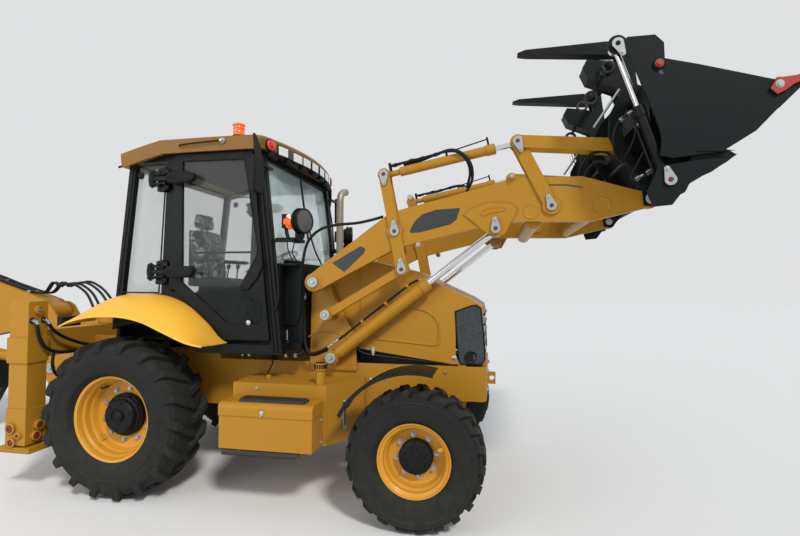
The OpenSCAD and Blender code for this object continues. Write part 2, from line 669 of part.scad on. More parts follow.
arm_outline = [[-35, 60], [571, 507], [699, 561], [1287, 703], [1553, 776], [2030, 770], [2403, 653], [2480, 648],
  [2480, 532], [2458, 530], [2090, 444], [1525, 452], [1312, 419], [754, 287], [619, 240], [33, -65]];
module arms() color(ochre) from_axle() {
  difference() {
    union() {
      slabs(arm_in, arm_out) {
        translate(H) polygon(arm_outline);
        eye(H, 74);
        eye(J, 62);
      }
      // Gusset plates that carry the lift rods, with a boss inboard
      slabs(arm_out - 1, arm_out + 8) translate(D)
        polygon([[-232, 110], [-190, 150], [-55, 200], [110, 190], [160, 140], [60, -45], [-35, -50]]);
      slabs(arm_in, arm_out + 8) eye(D, 62);
      bars(D, pin_r, arm_in - 6, pin_end);
      bar(H + [1690, 462], cross_tube_r, -arm_in - 1, arm_in + 1);
      bar(H + [2085, 500], cross_tube_r - 12, -arm_in - 1, arm_in + 1);
    }
    bars(H, pin_r + fit, arm_in - 1, arm_out + 1);
    for (p = [B, F, J]) bars(p, pin_r + fit, arm_in - 1, arm_out + 1);
  }
}

// Pair of plates beside each arm
module lever_plates() {
  slabs(lever_in, lever_in + lever_plate) children();
  slabs(lever_out, lever_out + lever_plate) children();
}
module levers() color(ochre) from_axle() {
  lever_plates() {
    strip(A, B, 84);
    strip(B, C, 92);
    eye(A, 48);
    eye(B, 60);
    eye(C, 50);
  }
  bars(B, pin_r, lever_in - 1, pin_end);
  bars(A, slim_pin_r, lever_in - 1, pin_end);
  bars(C, slim_pin_r, lever_out, pin_end);
}

module level_links() color(ochre) from_axle() difference() {
  slabs(arm_in + 1, arm_out - 1) {
    strip(G, C, 62);
    eye(G, 48);
    eye(C, 44);
  }
  bars(G, pin_r + fit, arm_in, arm_out);
}

module lift_barrels() color(ochre) from_axle() both_sides()
  barrel(I, D, lift_y, lift_barrel_r, lift_rod_r, 58, 50, pin_r, lift_barrel_l, 60);
module lift_rods() color(chrome) from_axle() both_sides()
  rod(I, D, lift_y, lift_rod_r, 990, 50, 45);

module bell_pins() color(chrome) from_axle() bars(F, pin_r, lever_in - 2, pin_end);
module bell_cranks() color(ochre) from_axle() {
  difference() {
    union() {
      lever_plates() {
        strip(F, E, 96);
        eye(F, 64);
        eye(E, 54);
      }
    }
    bars(F, pin_r + fit, lever_in - 1, lever_out + lever_plate + 1);
    bars(E, slim_pin_r + fit, lever_in - 1, lever_out + lever_plate + 1);
  }
}
// Stub pins, which leave the middle free for the rod's eye
module link_pins() color(chrome) from_axle() {
  bars(E, slim_pin_r, link_in - 4, arm_mid - 17);
  bars(E, slim_pin_r, arm_mid + 17, link_out + lever_plate + 4);
}

// Two plates on each side, outside the crank plates and the bucket lugs, so that they pass the arm
module tilt_links() color(ochre) from_axle() difference() {
  for (y = [link_in, link_out]) slabs(y, y + lever_plate) {
    strip(E, K, 92);
    eye(E, 50);
    eye(K, 46);
  }
  bars(E, slim_pin_r + fit, link_in - 1, link_out + lever_plate + 1);
}

module tilt_barrels() color(ochre) from_axle() both_sides()
  barrel(A, E, arm_mid, tilt_barrel_r, tilt_rod_r, 44, 26, slim_pin_r, tilt_barrel_l, 125);
module tilt_rods() color(chrome) from_axle() both_sides()
  rod(A, E, arm_mid, tilt_rod_r, 850, 44, 12);

// Loader bucket

module tip_pins() color(chrome) from_axle() bars(J, pin_r, lever_in - 14, pin_end + 12);

sheet = [[-55, 772], [10, 592], [75, 442], [175, 302], [355, 185]];
module bucket_back() color(coal) from_axle() difference() {
  union() {
    slab(-bucket_half + side_plate + gap + 2, bucket_half - side_plate - gap - 2) translate(J) {
      polygon([sheet[0], sheet[1], sheet[2], sheet[3], sheet[4], [300, 140], [205, 82], [95, 30], [62, 62],
        [130, 250], [52, 432], [-12, 584], [-78, 764]]);
    }
    // End ribs, and the outer plates below the clam
    slabs(rib_out - 18, rib_out) translate(J) polygon([[-95, 800], [-40, 800], [10, 592], [75, 442], [175, 302],
      [205, 82], [70, 0], [-10, -60], [-85, 10], [-95, 300], [-110, 640], [-150, 760]]);
    slabs(bucket_half - side_plate, bucket_half) translate(J) polygon([[-86, 118], [0, 135], [120, 152], [280, 160],
      [352, 182], [205, 78], [95, 30], [-10, -112], [-118, -122], [-150, -30]]);
    slabs(rib_out - 1, bucket_half) translate(J) polygon([[60, -40], [95, 32], [62, 60], [30, -20]]);
    // Lugs for the arms and the tilt links
    lever_plates() translate(J) polygon([[-45, -45], [30, -55], [95, 30], [130, 250], [52, 432], [-12, 584],
      [-60, 560], [-190, 420], [-205, 360], [-120, 300], [-60, 120]]);
    // Clam hinge pins and cylinder pins
    bars(clam_pivot, 45, rib_out - 18, rib_out + 6);
    bars(clam_pivot, pin_r, rib_out - 1, bucket_half + 6);
    bars(clam_base_pin, slim_pin_r, rib_out - 1, bucket_half + 8);
    // Fork carriers
    for (y = [fork_half - fork_w / 2 - 26, fork_half + fork_w / 2 + 6]) slabs(y, y + 20) {
      polygon([J + [-78, 700], J + [0, 610], J + [-40, 790], fork_shaft + [48, 0], fork_shaft - [48, 0], J + [-120, 790]]);
      eye(fork_shaft, 50);
    }
    // Chevron rests under the folded forks
    for (y = [fork_half - 80, fork_half + 62]) slabs(y, y + 18) translate(J)
      polygon([[-428, 1006], [-397, 1064], [-233, 1040], [-128, 1000], [-104, 740], [-150, 690], [-200, 835], [-389, 919]]);
  }
  bars(fork_shaft, 28 + fit, fork_half - fork_w, fork_half + fork_w);
  bars(J, pin_r + fit, lever_in - 30, pin_end + 30);
}

clam_outline = [[-237, 817], [-189, 683], [-142, 551], [-79, 366], [-66, 291], [-75, 188], [0, 172], [174, 190],
  [260, 198], [310, 225], [451, 315], [574, 448], [682, 563], [708, 590], [546, 617], [153, 738], [-42, 792],
  [-45, 891], [-95, 945], [-255, 945], [-330, 870]];
module bucket_clam() color(coal) from_axle() {
  difference() {
    union() {
      slabs(bucket_half - side_plate, bucket_half) {
        translate(J) polygon(clam_outline);
        eye(clam_rod_pin, 58);
      }
      slab(-bucket_half + side_plate - 1, bucket_half - side_plate + 1) {
        n = [edge_tip.y - floor_rear.y, floor_rear.x - edge_tip.x] / norm(edge_tip - floor_rear) * floor_plate;
        polygon([edge_tip, edge_tip + n * 0.3, floor_rear + n, floor_rear]);
      }
    }
    bars(clam_pivot, pin_r + fit, bucket_half - side_plate - 1, bucket_half + 1);
  }
  // Side cutters beside the cutting edge
  slabs(bucket_half - 1, bucket_half + 16) translate(J) polygon([[520, 557], [557, 519], [605, 542], [645, 574], [695, 594],
    [front_end - J.x, 628], [front_end - J.x, 657], [665, 627], [590, 620], [560, 622]]);
  bars(clam_rod_pin, slim_pin_r, bucket_half - 1, bucket_half + 8);
}

module clam_barrels() color(coal) from_axle() both_sides()
  barrel(clam_base_pin, clam_rod_pin, clam_y, 32, 18, 40, 30, slim_pin_r, clam_barrel_l, 40);
module clam_rods() color(chrome) from_axle() both_sides()
  rod(clam_base_pin, clam_rod_pin, clam_y, 18, 560, 38, 30);

module forks() color(coal) from_axle() {
  for (side = [-1, 1]) slab(side * fork_half - fork_w / 2, side * fork_half + fork_w / 2) {
    translate(fork_shaft) polygon([[20, 44], [-120, 62], [-fork_l + 60, 50], [-fork_l, 30], [-fork_l + 60, 18],
      [-120, -38], [20, -44]]);
    eye(fork_shaft, 52);
  }
  bar(fork_shaft, 28, -fork_half - fork_w / 2 - 34, fork_half + fork_w / 2 + 34);
}

// Side-shift frame, stabilisers and the digging arm

frame_front = frame_rear - 140;
leg_x0 = -frame_rear - 15;
leg_in = leg_half - leg_w;
module rear_frame() color(ochre) from_axle() {
  block(-frame_rear, -frame_front, -leg_in - 5, leg_in + 5, 1055, 1270);
  block(-frame_rear, -frame_front, -leg_in - 5, leg_in + 5, 400, 560);
  blocks(-frame_rear + 20, -frame_front, chassis_half - plate, chassis_half, 555, 1060);
  // Lashing eyes
  both_sides() difference() {
    block(-frame_rear + 50, -frame_rear + 70, 762, 838, 322, 405);
    translate([-frame_rear + 49, 800, 360]) rotate([0, 90, 0]) cylinder(r = 18, h = 22);
  }
  // Round bosses on the stabiliser tubes
  both_sides() {
    for (p = [[leg_half - 99, 529], [leg_half - 72, 450]]) {
      translate([leg_x0 + leg_w + 7, p[0], p[1]]) rotate([0, 90, 0]) cylinder(r = 40, h = 16);
      translate([leg_x0 - 23, p[0], p[1]]) rotate([0, 90, 0]) cylinder(r = 40, h = 16);
    }
    translate([leg_x0 + leg_w - 1, leg_half - 81, 1440]) rotate([0, 90, 0]) cylinder(r = 36, h = 13);
    translate([leg_x0 + 44, leg_half + 7, 519]) rotate([-90, 0, 0]) cylinder(r = 38, h = 14);
    translate([leg_x0 + 125, leg_half + 7, 470]) rotate([-90, 0, 0]) cylinder(r = 26, h = 14);
  }
  both_sides() difference() {
    union() {
      block(leg_x0, leg_x0 + leg_w, leg_in, leg_half, 400, 1510);
      block(leg_x0 - 12, leg_x0 + leg_w + 12, leg_in - 4, leg_half + 12, 1028, 1222);
      block(leg_x0 - 8, leg_x0 + leg_w + 8, leg_in - 4, leg_half + 8, 390, 665);
    }
    block(leg_x0 + leg_wall, leg_x0 + leg_w - leg_wall, leg_in + leg_wall, leg_half - leg_wall, 380, 1498);
  }
}
module stabiliser() {
  inset = leg_wall + gap;
  block(leg_x0 + inset, leg_x0 + leg_w - inset, leg_in + inset, leg_half - inset, 375, 1380);
  // Wear pads
  block(leg_x0 + leg_wall + 0.3, leg_x0 + leg_w - leg_wall - 0.3, leg_in + 45, leg_half - 45, 1250, 1350);
  block(leg_x0 + 45, leg_x0 + leg_w - 45, leg_in + leg_wall + 0.3, leg_half - leg_wall - 0.3, 1250, 1350);
  block(leg_x0 - 60, leg_x0 + leg_w + 60, leg_in - 70, leg_half + 20, 334, 376);
}
module stabiliser_left() color(ochre) from_axle() stabiliser();
module stabiliser_right() color(ochre) from_axle() mirror([0, 1, 0]) stabiliser();

swing_x = -swing_back;
swing_ram_y = 105;
swing_ram_z = 420;
carriage_x1 = -frame_rear - 0.5;
module shift_carriage() color(ochre) from_axle() {
  difference() {
    union() {
      block(carriage_x1 - 120, carriage_x1, -260, 260, 345, 1330);
      // Hooks over the top beam and under the bottom beam
      block(carriage_x1 - 60, -frame_front, -250, 250, 1275, 1330);
      block(carriage_x1 - 60, -frame_front, -250, 250, 345, 395);
      // Swing lugs
      for (z = [500, 1200]) {
        block(swing_x, carriage_x1 - 119, -105, 105, z, z + 100);
        translate([swing_x, 0, z]) cylinder(r = 105, h = 100);
      }
      // Fixed barrels of the swing cylinders
      for (side = [-1, 1]) translate([carriage_x1 - 240, side * swing_ram_y, swing_ram_z])
        rotate([0, 90, 0]) cylinder(r = 38, h = 130);
    }
    for (side = [-1, 1]) translate([carriage_x1 - 241, side * swing_ram_y, swing_ram_z])
      rotate([0, 90, 0]) cylinder(r = 20 + gland, h = 233);
    translate([swing_x, 0, 480]) cylinder(r = 40 + fit, h = 900);
  }
}
module swing_rod(side) {
  translate([swing_x, side * swing_ram_y, swing_ram_z - 38]) cylinder(r = 34, h = 62);
  translate([swing_x + 26, side * swing_ram_y, swing_ram_z]) rotate([0, 90, 0]) cylinder(r = 20, h = 242);
}
module swing_rod_left() color(chrome) from_axle() swing_rod(1);
module swing_rod_right() color(chrome) from_axle() swing_rod(-1);

module kingpost() color(ochre) from_axle() {
  block(swing_x - 140, swing_x + 105, -boom_half - 32, boom_half + 32, 605, 1195);
  slabs(boom_half + 10, boom_half + 35) {
    polygon([[swing_x - 20, 610], [boom_ram_base.x - 10, 610], [boom_ram_base.x - 95, 760], [P0.x - 95, 1300], [P0.x, 1460],
      [P0.x + 90, 1430], [swing_x - 120, 1190], [swing_x - 20, 1190]]);
    eye(P0, 104);
    eye(boom_ram_base, 84);
  }
  // Crank plate under the lower lug, for the swing rods, and the slew pins
  translate([swing_x, 0, 345]) cylinder(r = 150, h = 30);
  translate([swing_x, 0, 345]) cylinder(r = 40, h = 352);
  translate([swing_x, 0, 1099]) cylinder(r = 40, h = 230);
  bar(P0, 40, -boom_half - 40, boom_half + 40);
  bar(boom_ram_base, 34, -boom_half - 40, boom_half + 40);
}

// Boom side outline, along the line from pin to pin and above it
boom_dir = (P1 - P0) / boom_l;
boom_up = [-boom_dir.y, boom_dir.x] * -1;
function on_boom(s, t) = P0 + s * boom_dir + t * boom_up;
boom_outline = [on_boom(-40, 80), on_boom(60, 118), on_boom(900, 190), on_boom(1700, 170), on_boom(2500, 95), on_boom(2620, 85),
  on_boom(2620, -85), on_boom(2350, -115), on_boom(1800, -235), on_boom(1400, -420), on_boom(1050, -500), on_boom(760, -450),
  on_boom(400, -300), on_boom(60, -100),
  on_boom(-30, -80)];
fork_s = boom_l - 370;
// Half of the channel in the boom's belly, which the boom cylinder lies in
channel = 67;
module boom() color(ochre) from_axle() difference() {
  union() {
    slab(-boom_half, boom_half) {
      polygon(boom_outline);
      eye(P0, 92);
      eye(P1, 84);
    }
    // Lugs for the boom cylinder and the dipper cylinder
    slabs(channel + 1, channel + 25) {
      strip(boom_ram_top, boom_ram_top + boom_up * 260, 130);
      eye(boom_ram_top, 62);
    }
    slabs(34, 58) {
      strip(dipper_ram_base, dipper_ram_base - boom_up * 220, 150);
      eye(dipper_ram_base, 60);
    }
    bar(dipper_ram_base, 30, -66, 66);
    bar(P1, 38, -boom_half - 8, boom_half + 8);
  }
  bar(P0, 40 + fit, -boom_half - 1, boom_half + 1);
  slab(-channel, channel) polygon([on_boom(230, -600), on_boom(230, -190), on_boom(420, -120), on_boom(1500, -120),
    on_boom(1780, -190), on_boom(1900, -600)]);
  // Fork for the dipper
  difference() {
    slab(-dipper_half - gap, dipper_half + gap) polygon([on_boom(fork_s, 300), on_boom(boom_l + 200, 300),
      on_boom(boom_l + 200, -300), on_boom(fork_s, -300)]);
    bar(P1, 38, -boom_half, boom_half);
  }
}
module boom_barrel() color(ochre) from_axle()
  barrel(boom_ram_base, boom_ram_top, 0, 56, 32, 64, 60, 34, 1000, 62);
module boom_rod() color(chrome) from_axle()
  rod(boom_ram_base, boom_ram_top, 0, 32, 920, 54, channel - 5);

module dipper() color(ochre) from_axle() difference() {
  union() {
    slab(-dipper_half, dipper_half) {
      polygon([on_dipper(-440, -50), on_dipper(0, -105), on_dipper(350, -105), on_dipper(1180, -85), on_dipper(dipper_l, -55),
        on_dipper(dipper_l, 55), on_dipper(1100, 90), on_dipper(350, 160), on_dipper(60, 150), on_dipper(-440, 55)]);
      eye(P1, 108);
      eye(P2, 60);
      eye(dipper_ear, 60);
    }
    slabs(30, 54) {
      strip(bucket_ram_base, bucket_ram_base - dv * 160, 130);
      eye(bucket_ram_base, 56);
    }
    bar(bucket_ram_base, 28, -62, 62);
    bar(dipper_ear, 30, 34, dipper_half + 8);
    bar(dipper_ear, 30, -dipper_half - 8, -34);
    bar(P2, 34, -dipper_half - 26, dipper_half + 26);
  }
  bar(P1, 38 + fit, -dipper_half - 1, dipper_half + 1);
  bar(tipping_base, 30 + fit, -dipper_half - 1, dipper_half + 1);
  // Slot for the dipper rod's eye
  slab(-28, 28) strip(on_dipper(-600, 0), on_dipper(-150, 0), 400);
}
module dipper_barrel() color(ochre) from_axle()
  barrel(dipper_ram_base, dipper_ear, 0, 50, 28, 54, 28, 30, 1000, 90);
module dipper_rod() color(chrome) from_axle()
  rod(dipper_ram_base, dipper_ear, 0, 28, 900, 50, 22);

module hoe_barrel() color(ochre) from_axle()
  barrel(bucket_ram_base, tipping_top, 0, 42, 22, 50, 25, 28, 660, 80);
module hoe_rod() color(chrome) from_axle()
  rod(bucket_ram_base, tipping_top, 0, 22, 660, 40, 18);

// Tipping links beside the dipper, joined by their lower pin
module hoe_links() color(ochre) from_axle() {
  slabs(dipper_half + gap + 2, dipper_half + gap + 20) {
    strip(tipping_base, tipping_top, 70);
    eye(tipping_base, 50);
    eye(tipping_top, 46);
  }
  bar(tipping_base, 30, -dipper_half - 30, dipper_half + 30);
  slabs(28, dipper_half + 30) eye(tipping_top, 26);
}
module power_link() color(ochre) from_axle() difference() {
  slab(-dipper_half + 8, dipper_half - 8) {
    strip(tipping_top, hoe_lug, 74);
    eye(tipping_top, 44);
    eye(hoe_lug, 46);
  }
  bar(tipping_top, 26 + fit, -dipper_half, dipper_half);
  slab(-27, 27) strip(tipping_top - (hoe_lug - tipping_top) * 0.4, tipping_top + (hoe_lug - tipping_top) * 0.35, 120);
}

// Digging bucket, drawn with its teeth along +x, then turned to its rest slope
hoe_slope = dipper_slope - 40;
module hoe_place() translate(P2) rotate(hoe_slope) children();
module hoe_bucket() color(coal) from_axle() {
  slabs(hoe_half - 14, hoe_half) hoe_place()
    polygon([[70, 40], [60, -330], [150, -470], [290, -520], [450, -480], [600, -310], [hoe_r - 60, -20], [590, 20]]);
  slab(-hoe_half + 13, hoe_half - 13) hoe_place() {
    polygon([[70, 40], [60, -330], [150, -470], [290, -520], [450, -480], [600, -310], [hoe_r - 60, -20],
      [hoe_r - 80, -20], [586, -300], [442, -462], [290, -500], [164, -456], [80, -326], [90, 40]]);
  }
  difference() {
    slabs(dipper_half + gap + 2, dipper_half + gap + 24) {
      hoe_place() polygon([[-40, 50], [75, 40], [65, -330], [-20, -345], [-90, -310], [-60, -40]]);
      eye(P2, 62);
      eye(hoe_lug, 52);
    }
    bars(P2, 34 + fit, dipper_half, dipper_half + 60);
  }
  bars(hoe_lug, 28, dipper_half + gap + 2, dipper_half + 38);
  // Teeth
  for (i = [-2 : 2]) slab(i * 130 - 28, i * 130 + 28) hoe_place()
    polygon([[hoe_r - 140, -90], [hoe_r - 60, -40], [hoe_r, 0], [hoe_r - 70, -10], [hoe_r - 150, -70]]);
}

chassis();
engine_block();
axles();
side_tanks();
toolbox_lid();
cab_frame();
cab_roof();
cab_glass();
door_right();
door_left();
cab_interior();
fittings();
fenders();
bonnet();
grille();
rear_frame();
stabiliser_right();
stabiliser_left();
knuckle_right();
knuckle_left();
rim_rear_right();
rim_rear_left();
rim_front_right();
rim_front_left();
tyre_rear_right();
tyre_rear_left();
tyre_front_right();
tyre_front_left();
arms();
levers();
level_links();
lift_barrels();
lift_rods();
bell_pins();
bell_cranks();
link_pins();
tilt_links();
tilt_barrels();
tilt_rods();
tip_pins();
bucket_back();
bucket_clam();
clam_barrels();
clam_rods();
forks();
shift_carriage();
kingpost();
swing_rod_right();
swing_rod_left();
boom();
boom_barrel();
boom_rod();
dipper();
dipper_barrel();
dipper_rod();
hoe_barrel();
hoe_rod();
hoe_links();
power_link();
hoe_bucket();
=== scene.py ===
# Looks of a backhoe loader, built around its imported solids. Lengths are in metres.
import json
import math

import bmesh
import bpy
from mathutils import Matrix, Vector


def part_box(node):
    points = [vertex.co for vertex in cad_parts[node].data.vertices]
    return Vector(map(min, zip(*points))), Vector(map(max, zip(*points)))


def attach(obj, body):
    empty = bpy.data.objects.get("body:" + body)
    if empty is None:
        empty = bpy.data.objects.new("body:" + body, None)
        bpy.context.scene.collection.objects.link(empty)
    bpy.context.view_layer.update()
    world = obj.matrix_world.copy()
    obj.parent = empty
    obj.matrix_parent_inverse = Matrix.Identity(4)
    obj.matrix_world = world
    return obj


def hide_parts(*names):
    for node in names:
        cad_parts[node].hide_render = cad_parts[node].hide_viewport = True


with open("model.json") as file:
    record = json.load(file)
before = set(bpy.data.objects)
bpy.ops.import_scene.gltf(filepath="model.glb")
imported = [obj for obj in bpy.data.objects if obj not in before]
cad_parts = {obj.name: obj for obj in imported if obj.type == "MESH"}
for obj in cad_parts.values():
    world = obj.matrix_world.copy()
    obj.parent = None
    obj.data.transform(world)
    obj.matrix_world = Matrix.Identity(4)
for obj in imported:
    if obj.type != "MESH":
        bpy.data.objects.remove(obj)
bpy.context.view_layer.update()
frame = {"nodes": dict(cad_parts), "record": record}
nodes = frame["nodes"]

# Side view X is measured ahead of the rear axle, and AX moves it into the shared frame
AX = sum(v.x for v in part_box("tyre_rear_right")) / 2
X = Vector((1, 0, 0))
Y = Vector((0, 1, 0))
UP = Vector((0, 0, 1))
SIDES = (("r", -1), ("l", 1))
LONG_SIDES = (("right", -1), ("left", 1))

# Wheels, and the side faces that smaller pieces sit on
WHEELBASE = 2.35
REAR_R = 0.616
FRONT_R = 0.476
CAB_SIDE = 0.757
DOOR_SIDE = 0.785
HINGE_X = 0.13
HINGE_Y = 0.815
ROOF_HALF = 0.83
ARM_SIDE = 0.667
BONNET_SIDE = 0.4445
LEG_SIDE = 1.141


def W(x, y, z):
    return Vector((x + AX, y, z))


# Points may be tuples ahead of the rear axle, or vectors in the shared frame
def at(p):
    return p if isinstance(p, Vector) else W(*p)


# Low and high Y of a range that is given for the left side
def span(side, a, b):
    return sorted((side * a, side * b))


def square_to(axis):
    a = Vector(axis).normalized()
    u = a.orthogonal().normalized()
    return u, a.cross(u)


def circle(c, u, v, r, n, turn=0.0):
    out = []
    for k in range(n):
        a = turn + 2 * math.pi * k / n
        out.append(c + r * (math.cos(a) * u + math.sin(a) * v))
    return out


# Points beside a line from pin p to pin q in the side view: a along, b above, y across
def along(p, q):
    d = Vector((q[0] - p[0], q[1] - p[1])).normalized()

    def place(a, b, y):
        return (p[0] + d.x * a - d.y * b, y, p[1] + d.y * a + d.x * b)

    return place


def lin(code):
    out = []
    for i in (1, 3, 5):
        c = int(code[i:i + 2], 16) / 255
        out.append(c / 12.92 if c <= 0.04045 else ((c + 0.055) / 1.055) ** 2.4)
    return (*out, 1)


# Camera at the photograph's viewpoint
yaw, pitch, roll = (math.radians(a) for a in (10.93, 1.91, 0.21))
look = Vector((-math.sin(yaw) * math.cos(pitch), math.cos(yaw) * math.cos(pitch), math.sin(pitch)))
side = Vector((math.cos(yaw), math.sin(yaw), 0))
rise = side.cross(look)
right = math.cos(roll) * side + math.sin(roll) * rise
up = -math.sin(roll) * side + math.cos(roll) * rise
cam_data = bpy.data.cameras.new("camera")
cam_data.lens = 21.933
cam_data.sensor_width = 36
camera = bpy.data.objects.new("camera", cam_data)
bpy.context.scene.collection.objects.link(camera)
turn = Matrix((right, up, -look)).transposed().to_4x4()
camera.matrix_world = Matrix.Translation(W(2.88, -4.331, 1.656)) @ turn
bpy.context.scene.camera = camera
bpy.context.scene.view_settings.view_transform = "Standard"


# Node helpers
def node(tree, kind, links=(), **values):
    n = tree.nodes.new("ShaderNode" + kind)
    for k, v in values.items():
        if hasattr(n, k):
            setattr(n, k, v)
        else:
            n.inputs[k.replace("_", " ")].default_value = v
    for name, out in links:
        tree.links.new(out, n.inputs[name])
    return n


def ramp(tree, fac, stops):
    n = tree.nodes.new("ShaderNodeValToRGB")
    n.color_ramp.elements[0].position = stops[0][0]
    n.color_ramp.elements[0].color = stops[0][1]
    n.color_ramp.elements[1].position = stops[-1][0]
    n.color_ramp.elements[1].color = stops[-1][1]
    for pos, col in stops[1:-1]:
        n.color_ramp.elements.new(pos).color = col
    tree.links.new(fac, n.inputs[0])
    return n.outputs[0]


def mix(tree, fac, a, b, blend="MIX"):
    n = tree.nodes.new("ShaderNodeMix")
    n.data_type = "RGBA"
    n.blend_type = blend
    for sock, val in ((n.inputs[0], fac), (n.inputs[6], a), (n.inputs[7], b)):
        if hasattr(val, "links"):
            tree.links.new(val, sock)
        else:
            sock.default_value = val
    return n.outputs[2]


def grey(v):
    return (v, v, v, 1)


def shade(c, k):
    return (min(c[0] * k, 1), min(c[1] * k, 1), min(c[2] * k, 1), 1)


MATS = {}


def material(name, code, rough=0.45, metal=0.0, vary=0.12, grain=250.0, bump=0.08, dust=0.25, wear=0.0,
             streak=0.0, coat=0.0, edge=0.004, spec=0.5, glow=0):
    m = bpy.data.materials.new(name)
    m.use_nodes = True
    t = m.node_tree
    t.nodes.clear()
    out = t.nodes.new("ShaderNodeOutputMaterial")
    b = t.nodes.new("ShaderNodeBsdfPrincipled")
    t.links.new(b.outputs[0], out.inputs[0])
    base = lin(code)
    co = node(t, "TexCoord").outputs["Object"]
    broad = node(t, "TexNoise", [("Vector", co)], Scale=2.3, Detail=5.0, Roughness=0.6).outputs["Fac"]
    mid = node(t, "TexNoise", [("Vector", co)], Scale=17.0, Detail=6.0, Roughness=0.65).outputs["Fac"]
    fine = node(t, "TexNoise", [("Vector", co)], Scale=grain, Detail=3.0, Roughness=0.6).outputs["Fac"]
    col = mix(t, broad, shade(base, 1 - vary), shade(base, 1 + vary))
    spots = ramp(t, mid, [(0.35, grey(0)), (0.75, grey(1))])
    col = mix(t, mix(t, 0.5, spots, grey(0)), col, shade(base, 1 - 1.6 * vary))
    geo = node(t, "NewGeometry")
    if streak:
        tall = node(t, "Mapping", [("Vector", co)], Scale=(26, 26, 1.6)).outputs[0]
        run = node(t, "TexNoise", [("Vector", tall)], Scale=1.0, Detail=6.0, Roughness=0.7).outputs["Fac"]
        run = ramp(t, run, [(0.5, grey(0)), (0.72, grey(streak))])
        col = mix(t, run, col, lin("#5B4A32"))
    if dust:
        n = node(t, "SeparateXYZ", [("Vector", geo.outputs["Normal"])]).outputs["Z"]
        z = node(t, "SeparateXYZ", [("Vector", geo.outputs["Position"])]).outputs["Z"]
        low = node(t, "MapRange", [("Value", z)], From_Min=0.0, From_Max=1.5, To_Min=0.6, To_Max=0.12)
        flat = node(t, "MapRange", [("Value", n)], From_Min=0.1, From_Max=1.0, To_Min=0.0, To_Max=0.5)
        both = node(t, "Math", [(0, low.outputs[0]), (1, flat.outputs[0])], operation="ADD").outputs[0]
        spread = ramp(t, mid, [(0.3, grey(0.25)), (0.7, grey(1.0))])
        amount = node(t, "Math", [(0, both), (1, spread)], operation="MULTIPLY").outputs[0]
        amount = node(t, "Math", [(0, amount)], operation="MULTIPLY")
        amount.inputs[1].default_value = dust
        amount.use_clamp = True
        col = mix(t, amount.outputs[0], col, lin("#8C8172"))
    if wear:
        edge_on = ramp(t, geo.outputs["Pointiness"], [(0.505, grey(0)), (0.56, grey(1))])
        patch = ramp(t, mid, [(0.46, grey(0)), (0.62, grey(wear))])
        col = mix(t, mix(t, 1.0, edge_on, patch, "MULTIPLY"), col, lin("#6B6660"))
    t.links.new(col, b.inputs["Base Color"])
    r = node(t, "MapRange", [("Value", mid)], To_Min=max(rough - 0.09, 0.02), To_Max=min(rough + 0.12, 1.0))
    t.links.new(r.outputs[0], b.inputs["Roughness"])
    b.inputs["Metallic"].default_value = metal
    b.inputs["Specular IOR Level"].default_value = spec
    b.inputs["Coat Weight"].default_value = coat
    b.inputs["Coat Roughness"].default_value = 0.12
    if glow:
        b.inputs["Emission Color"].default_value = lin(code)
        b.inputs["Emission Strength"].default_value = glow
    bm = node(t, "Bump", [("Height", fine)], Strength=bump, Distance=0.002)
    if edge:
        bev = node(t, "Bevel", Radius=edge)
        bev.samples = 4
        t.links.new(bev.outputs[0], bm.inputs["Normal"])
    t.links.new(bm.outputs[0], b.inputs["Normal"])
    MATS[name] = m


def glass(name, code, alpha):
    m = bpy.data.materials.new(name)
    m.use_nodes = True
    t = m.node_tree
    b = t.nodes["Principled BSDF"]
    co = node(t, "TexCoord").outputs["Object"]
    haze = node(t, "TexNoise", [("Vector", co)], Scale=5.0, Detail=6.0).outputs["Fac"]
    r = node(t, "MapRange", [("Value", haze)], From_Min=0.4, From_Max=0.8, To_Min=0.04, To_Max=0.14)
    t.links.new(r.outputs[0], b.inputs["Roughness"])
    t.links.new(mix(t, haze, lin(code), shade(lin(code), 1.5)), b.inputs["Base Color"])
    b.inputs["Alpha"].default_value = alpha
    b.inputs["Specular IOR Level"].default_value = 0.7
    MATS[name] = m


material("ochre", "#AB7A1F", rough=0.42, coat=0.05, vary=0.03, streak=0.03, dust=0.04, spec=0.22)
material("amber", "#ECB23A", rough=0.38, coat=0.1, vary=0.03, dust=0.03, spec=0.35)
material("rim", "#CE9124", rough=0.38, coat=0.1, vary=0.03, wear=0.06, dust=0.08, spec=0.35)
# The roof paint is the body's ochre paint darkened: painted shade on the same paint
material("roof", "#80591A", rough=0.42, vary=0.04, streak=0.04, dust=0.06, spec=0.3)
material("black", "#0C0F10", rough=0.45, vary=0.06, dust=0.03, spec=0.18)
material("coal", "#0E1415", rough=0.5, vary=0.03, dust=0.02, spec=0.15)
material("iron", "#2A2C2D", rough=0.6, dust=0.25, bump=0.3, spec=0.3)
material("rubber", "#121717", rough=0.8, vary=0.1, dust=0.14, bump=0.35, grain=120, edge=0.003, spec=0.25)
material("hose", "#0B0D0E", rough=0.5, vary=0.05, dust=0.04, bump=0.1, grain=500, edge=0, spec=0.25)
material("chrome", "#DADCDE", rough=0.12, metal=1.0, vary=0.03, bump=0.02, dust=0.0, edge=0.001)
material("steel", "#B4B6B8", rough=0.35, metal=0.9, vary=0.08, dust=0.05, edge=0.002)
material("plate", "#A4AAAB", rough=0.38, metal=0.4, vary=0.04, dust=0.05, edge=0.002)
material("red", "#A3201C", rough=0.4, coat=0.2, vary=0.05, dust=0.06, edge=0.002)
material("lamp_white", "#E6E8E6", rough=0.15, coat=0.6, dust=0.03, vary=0.02, edge=0)
material("lamp_orange", "#F2660F", rough=0.2, coat=0.6, dust=0.03, vary=0.04, edge=0, glow=0.25)
material("lamp_red", "#C4190F", rough=0.2, coat=0.6, dust=0.03, vary=0.04, edge=0, glow=0.1)
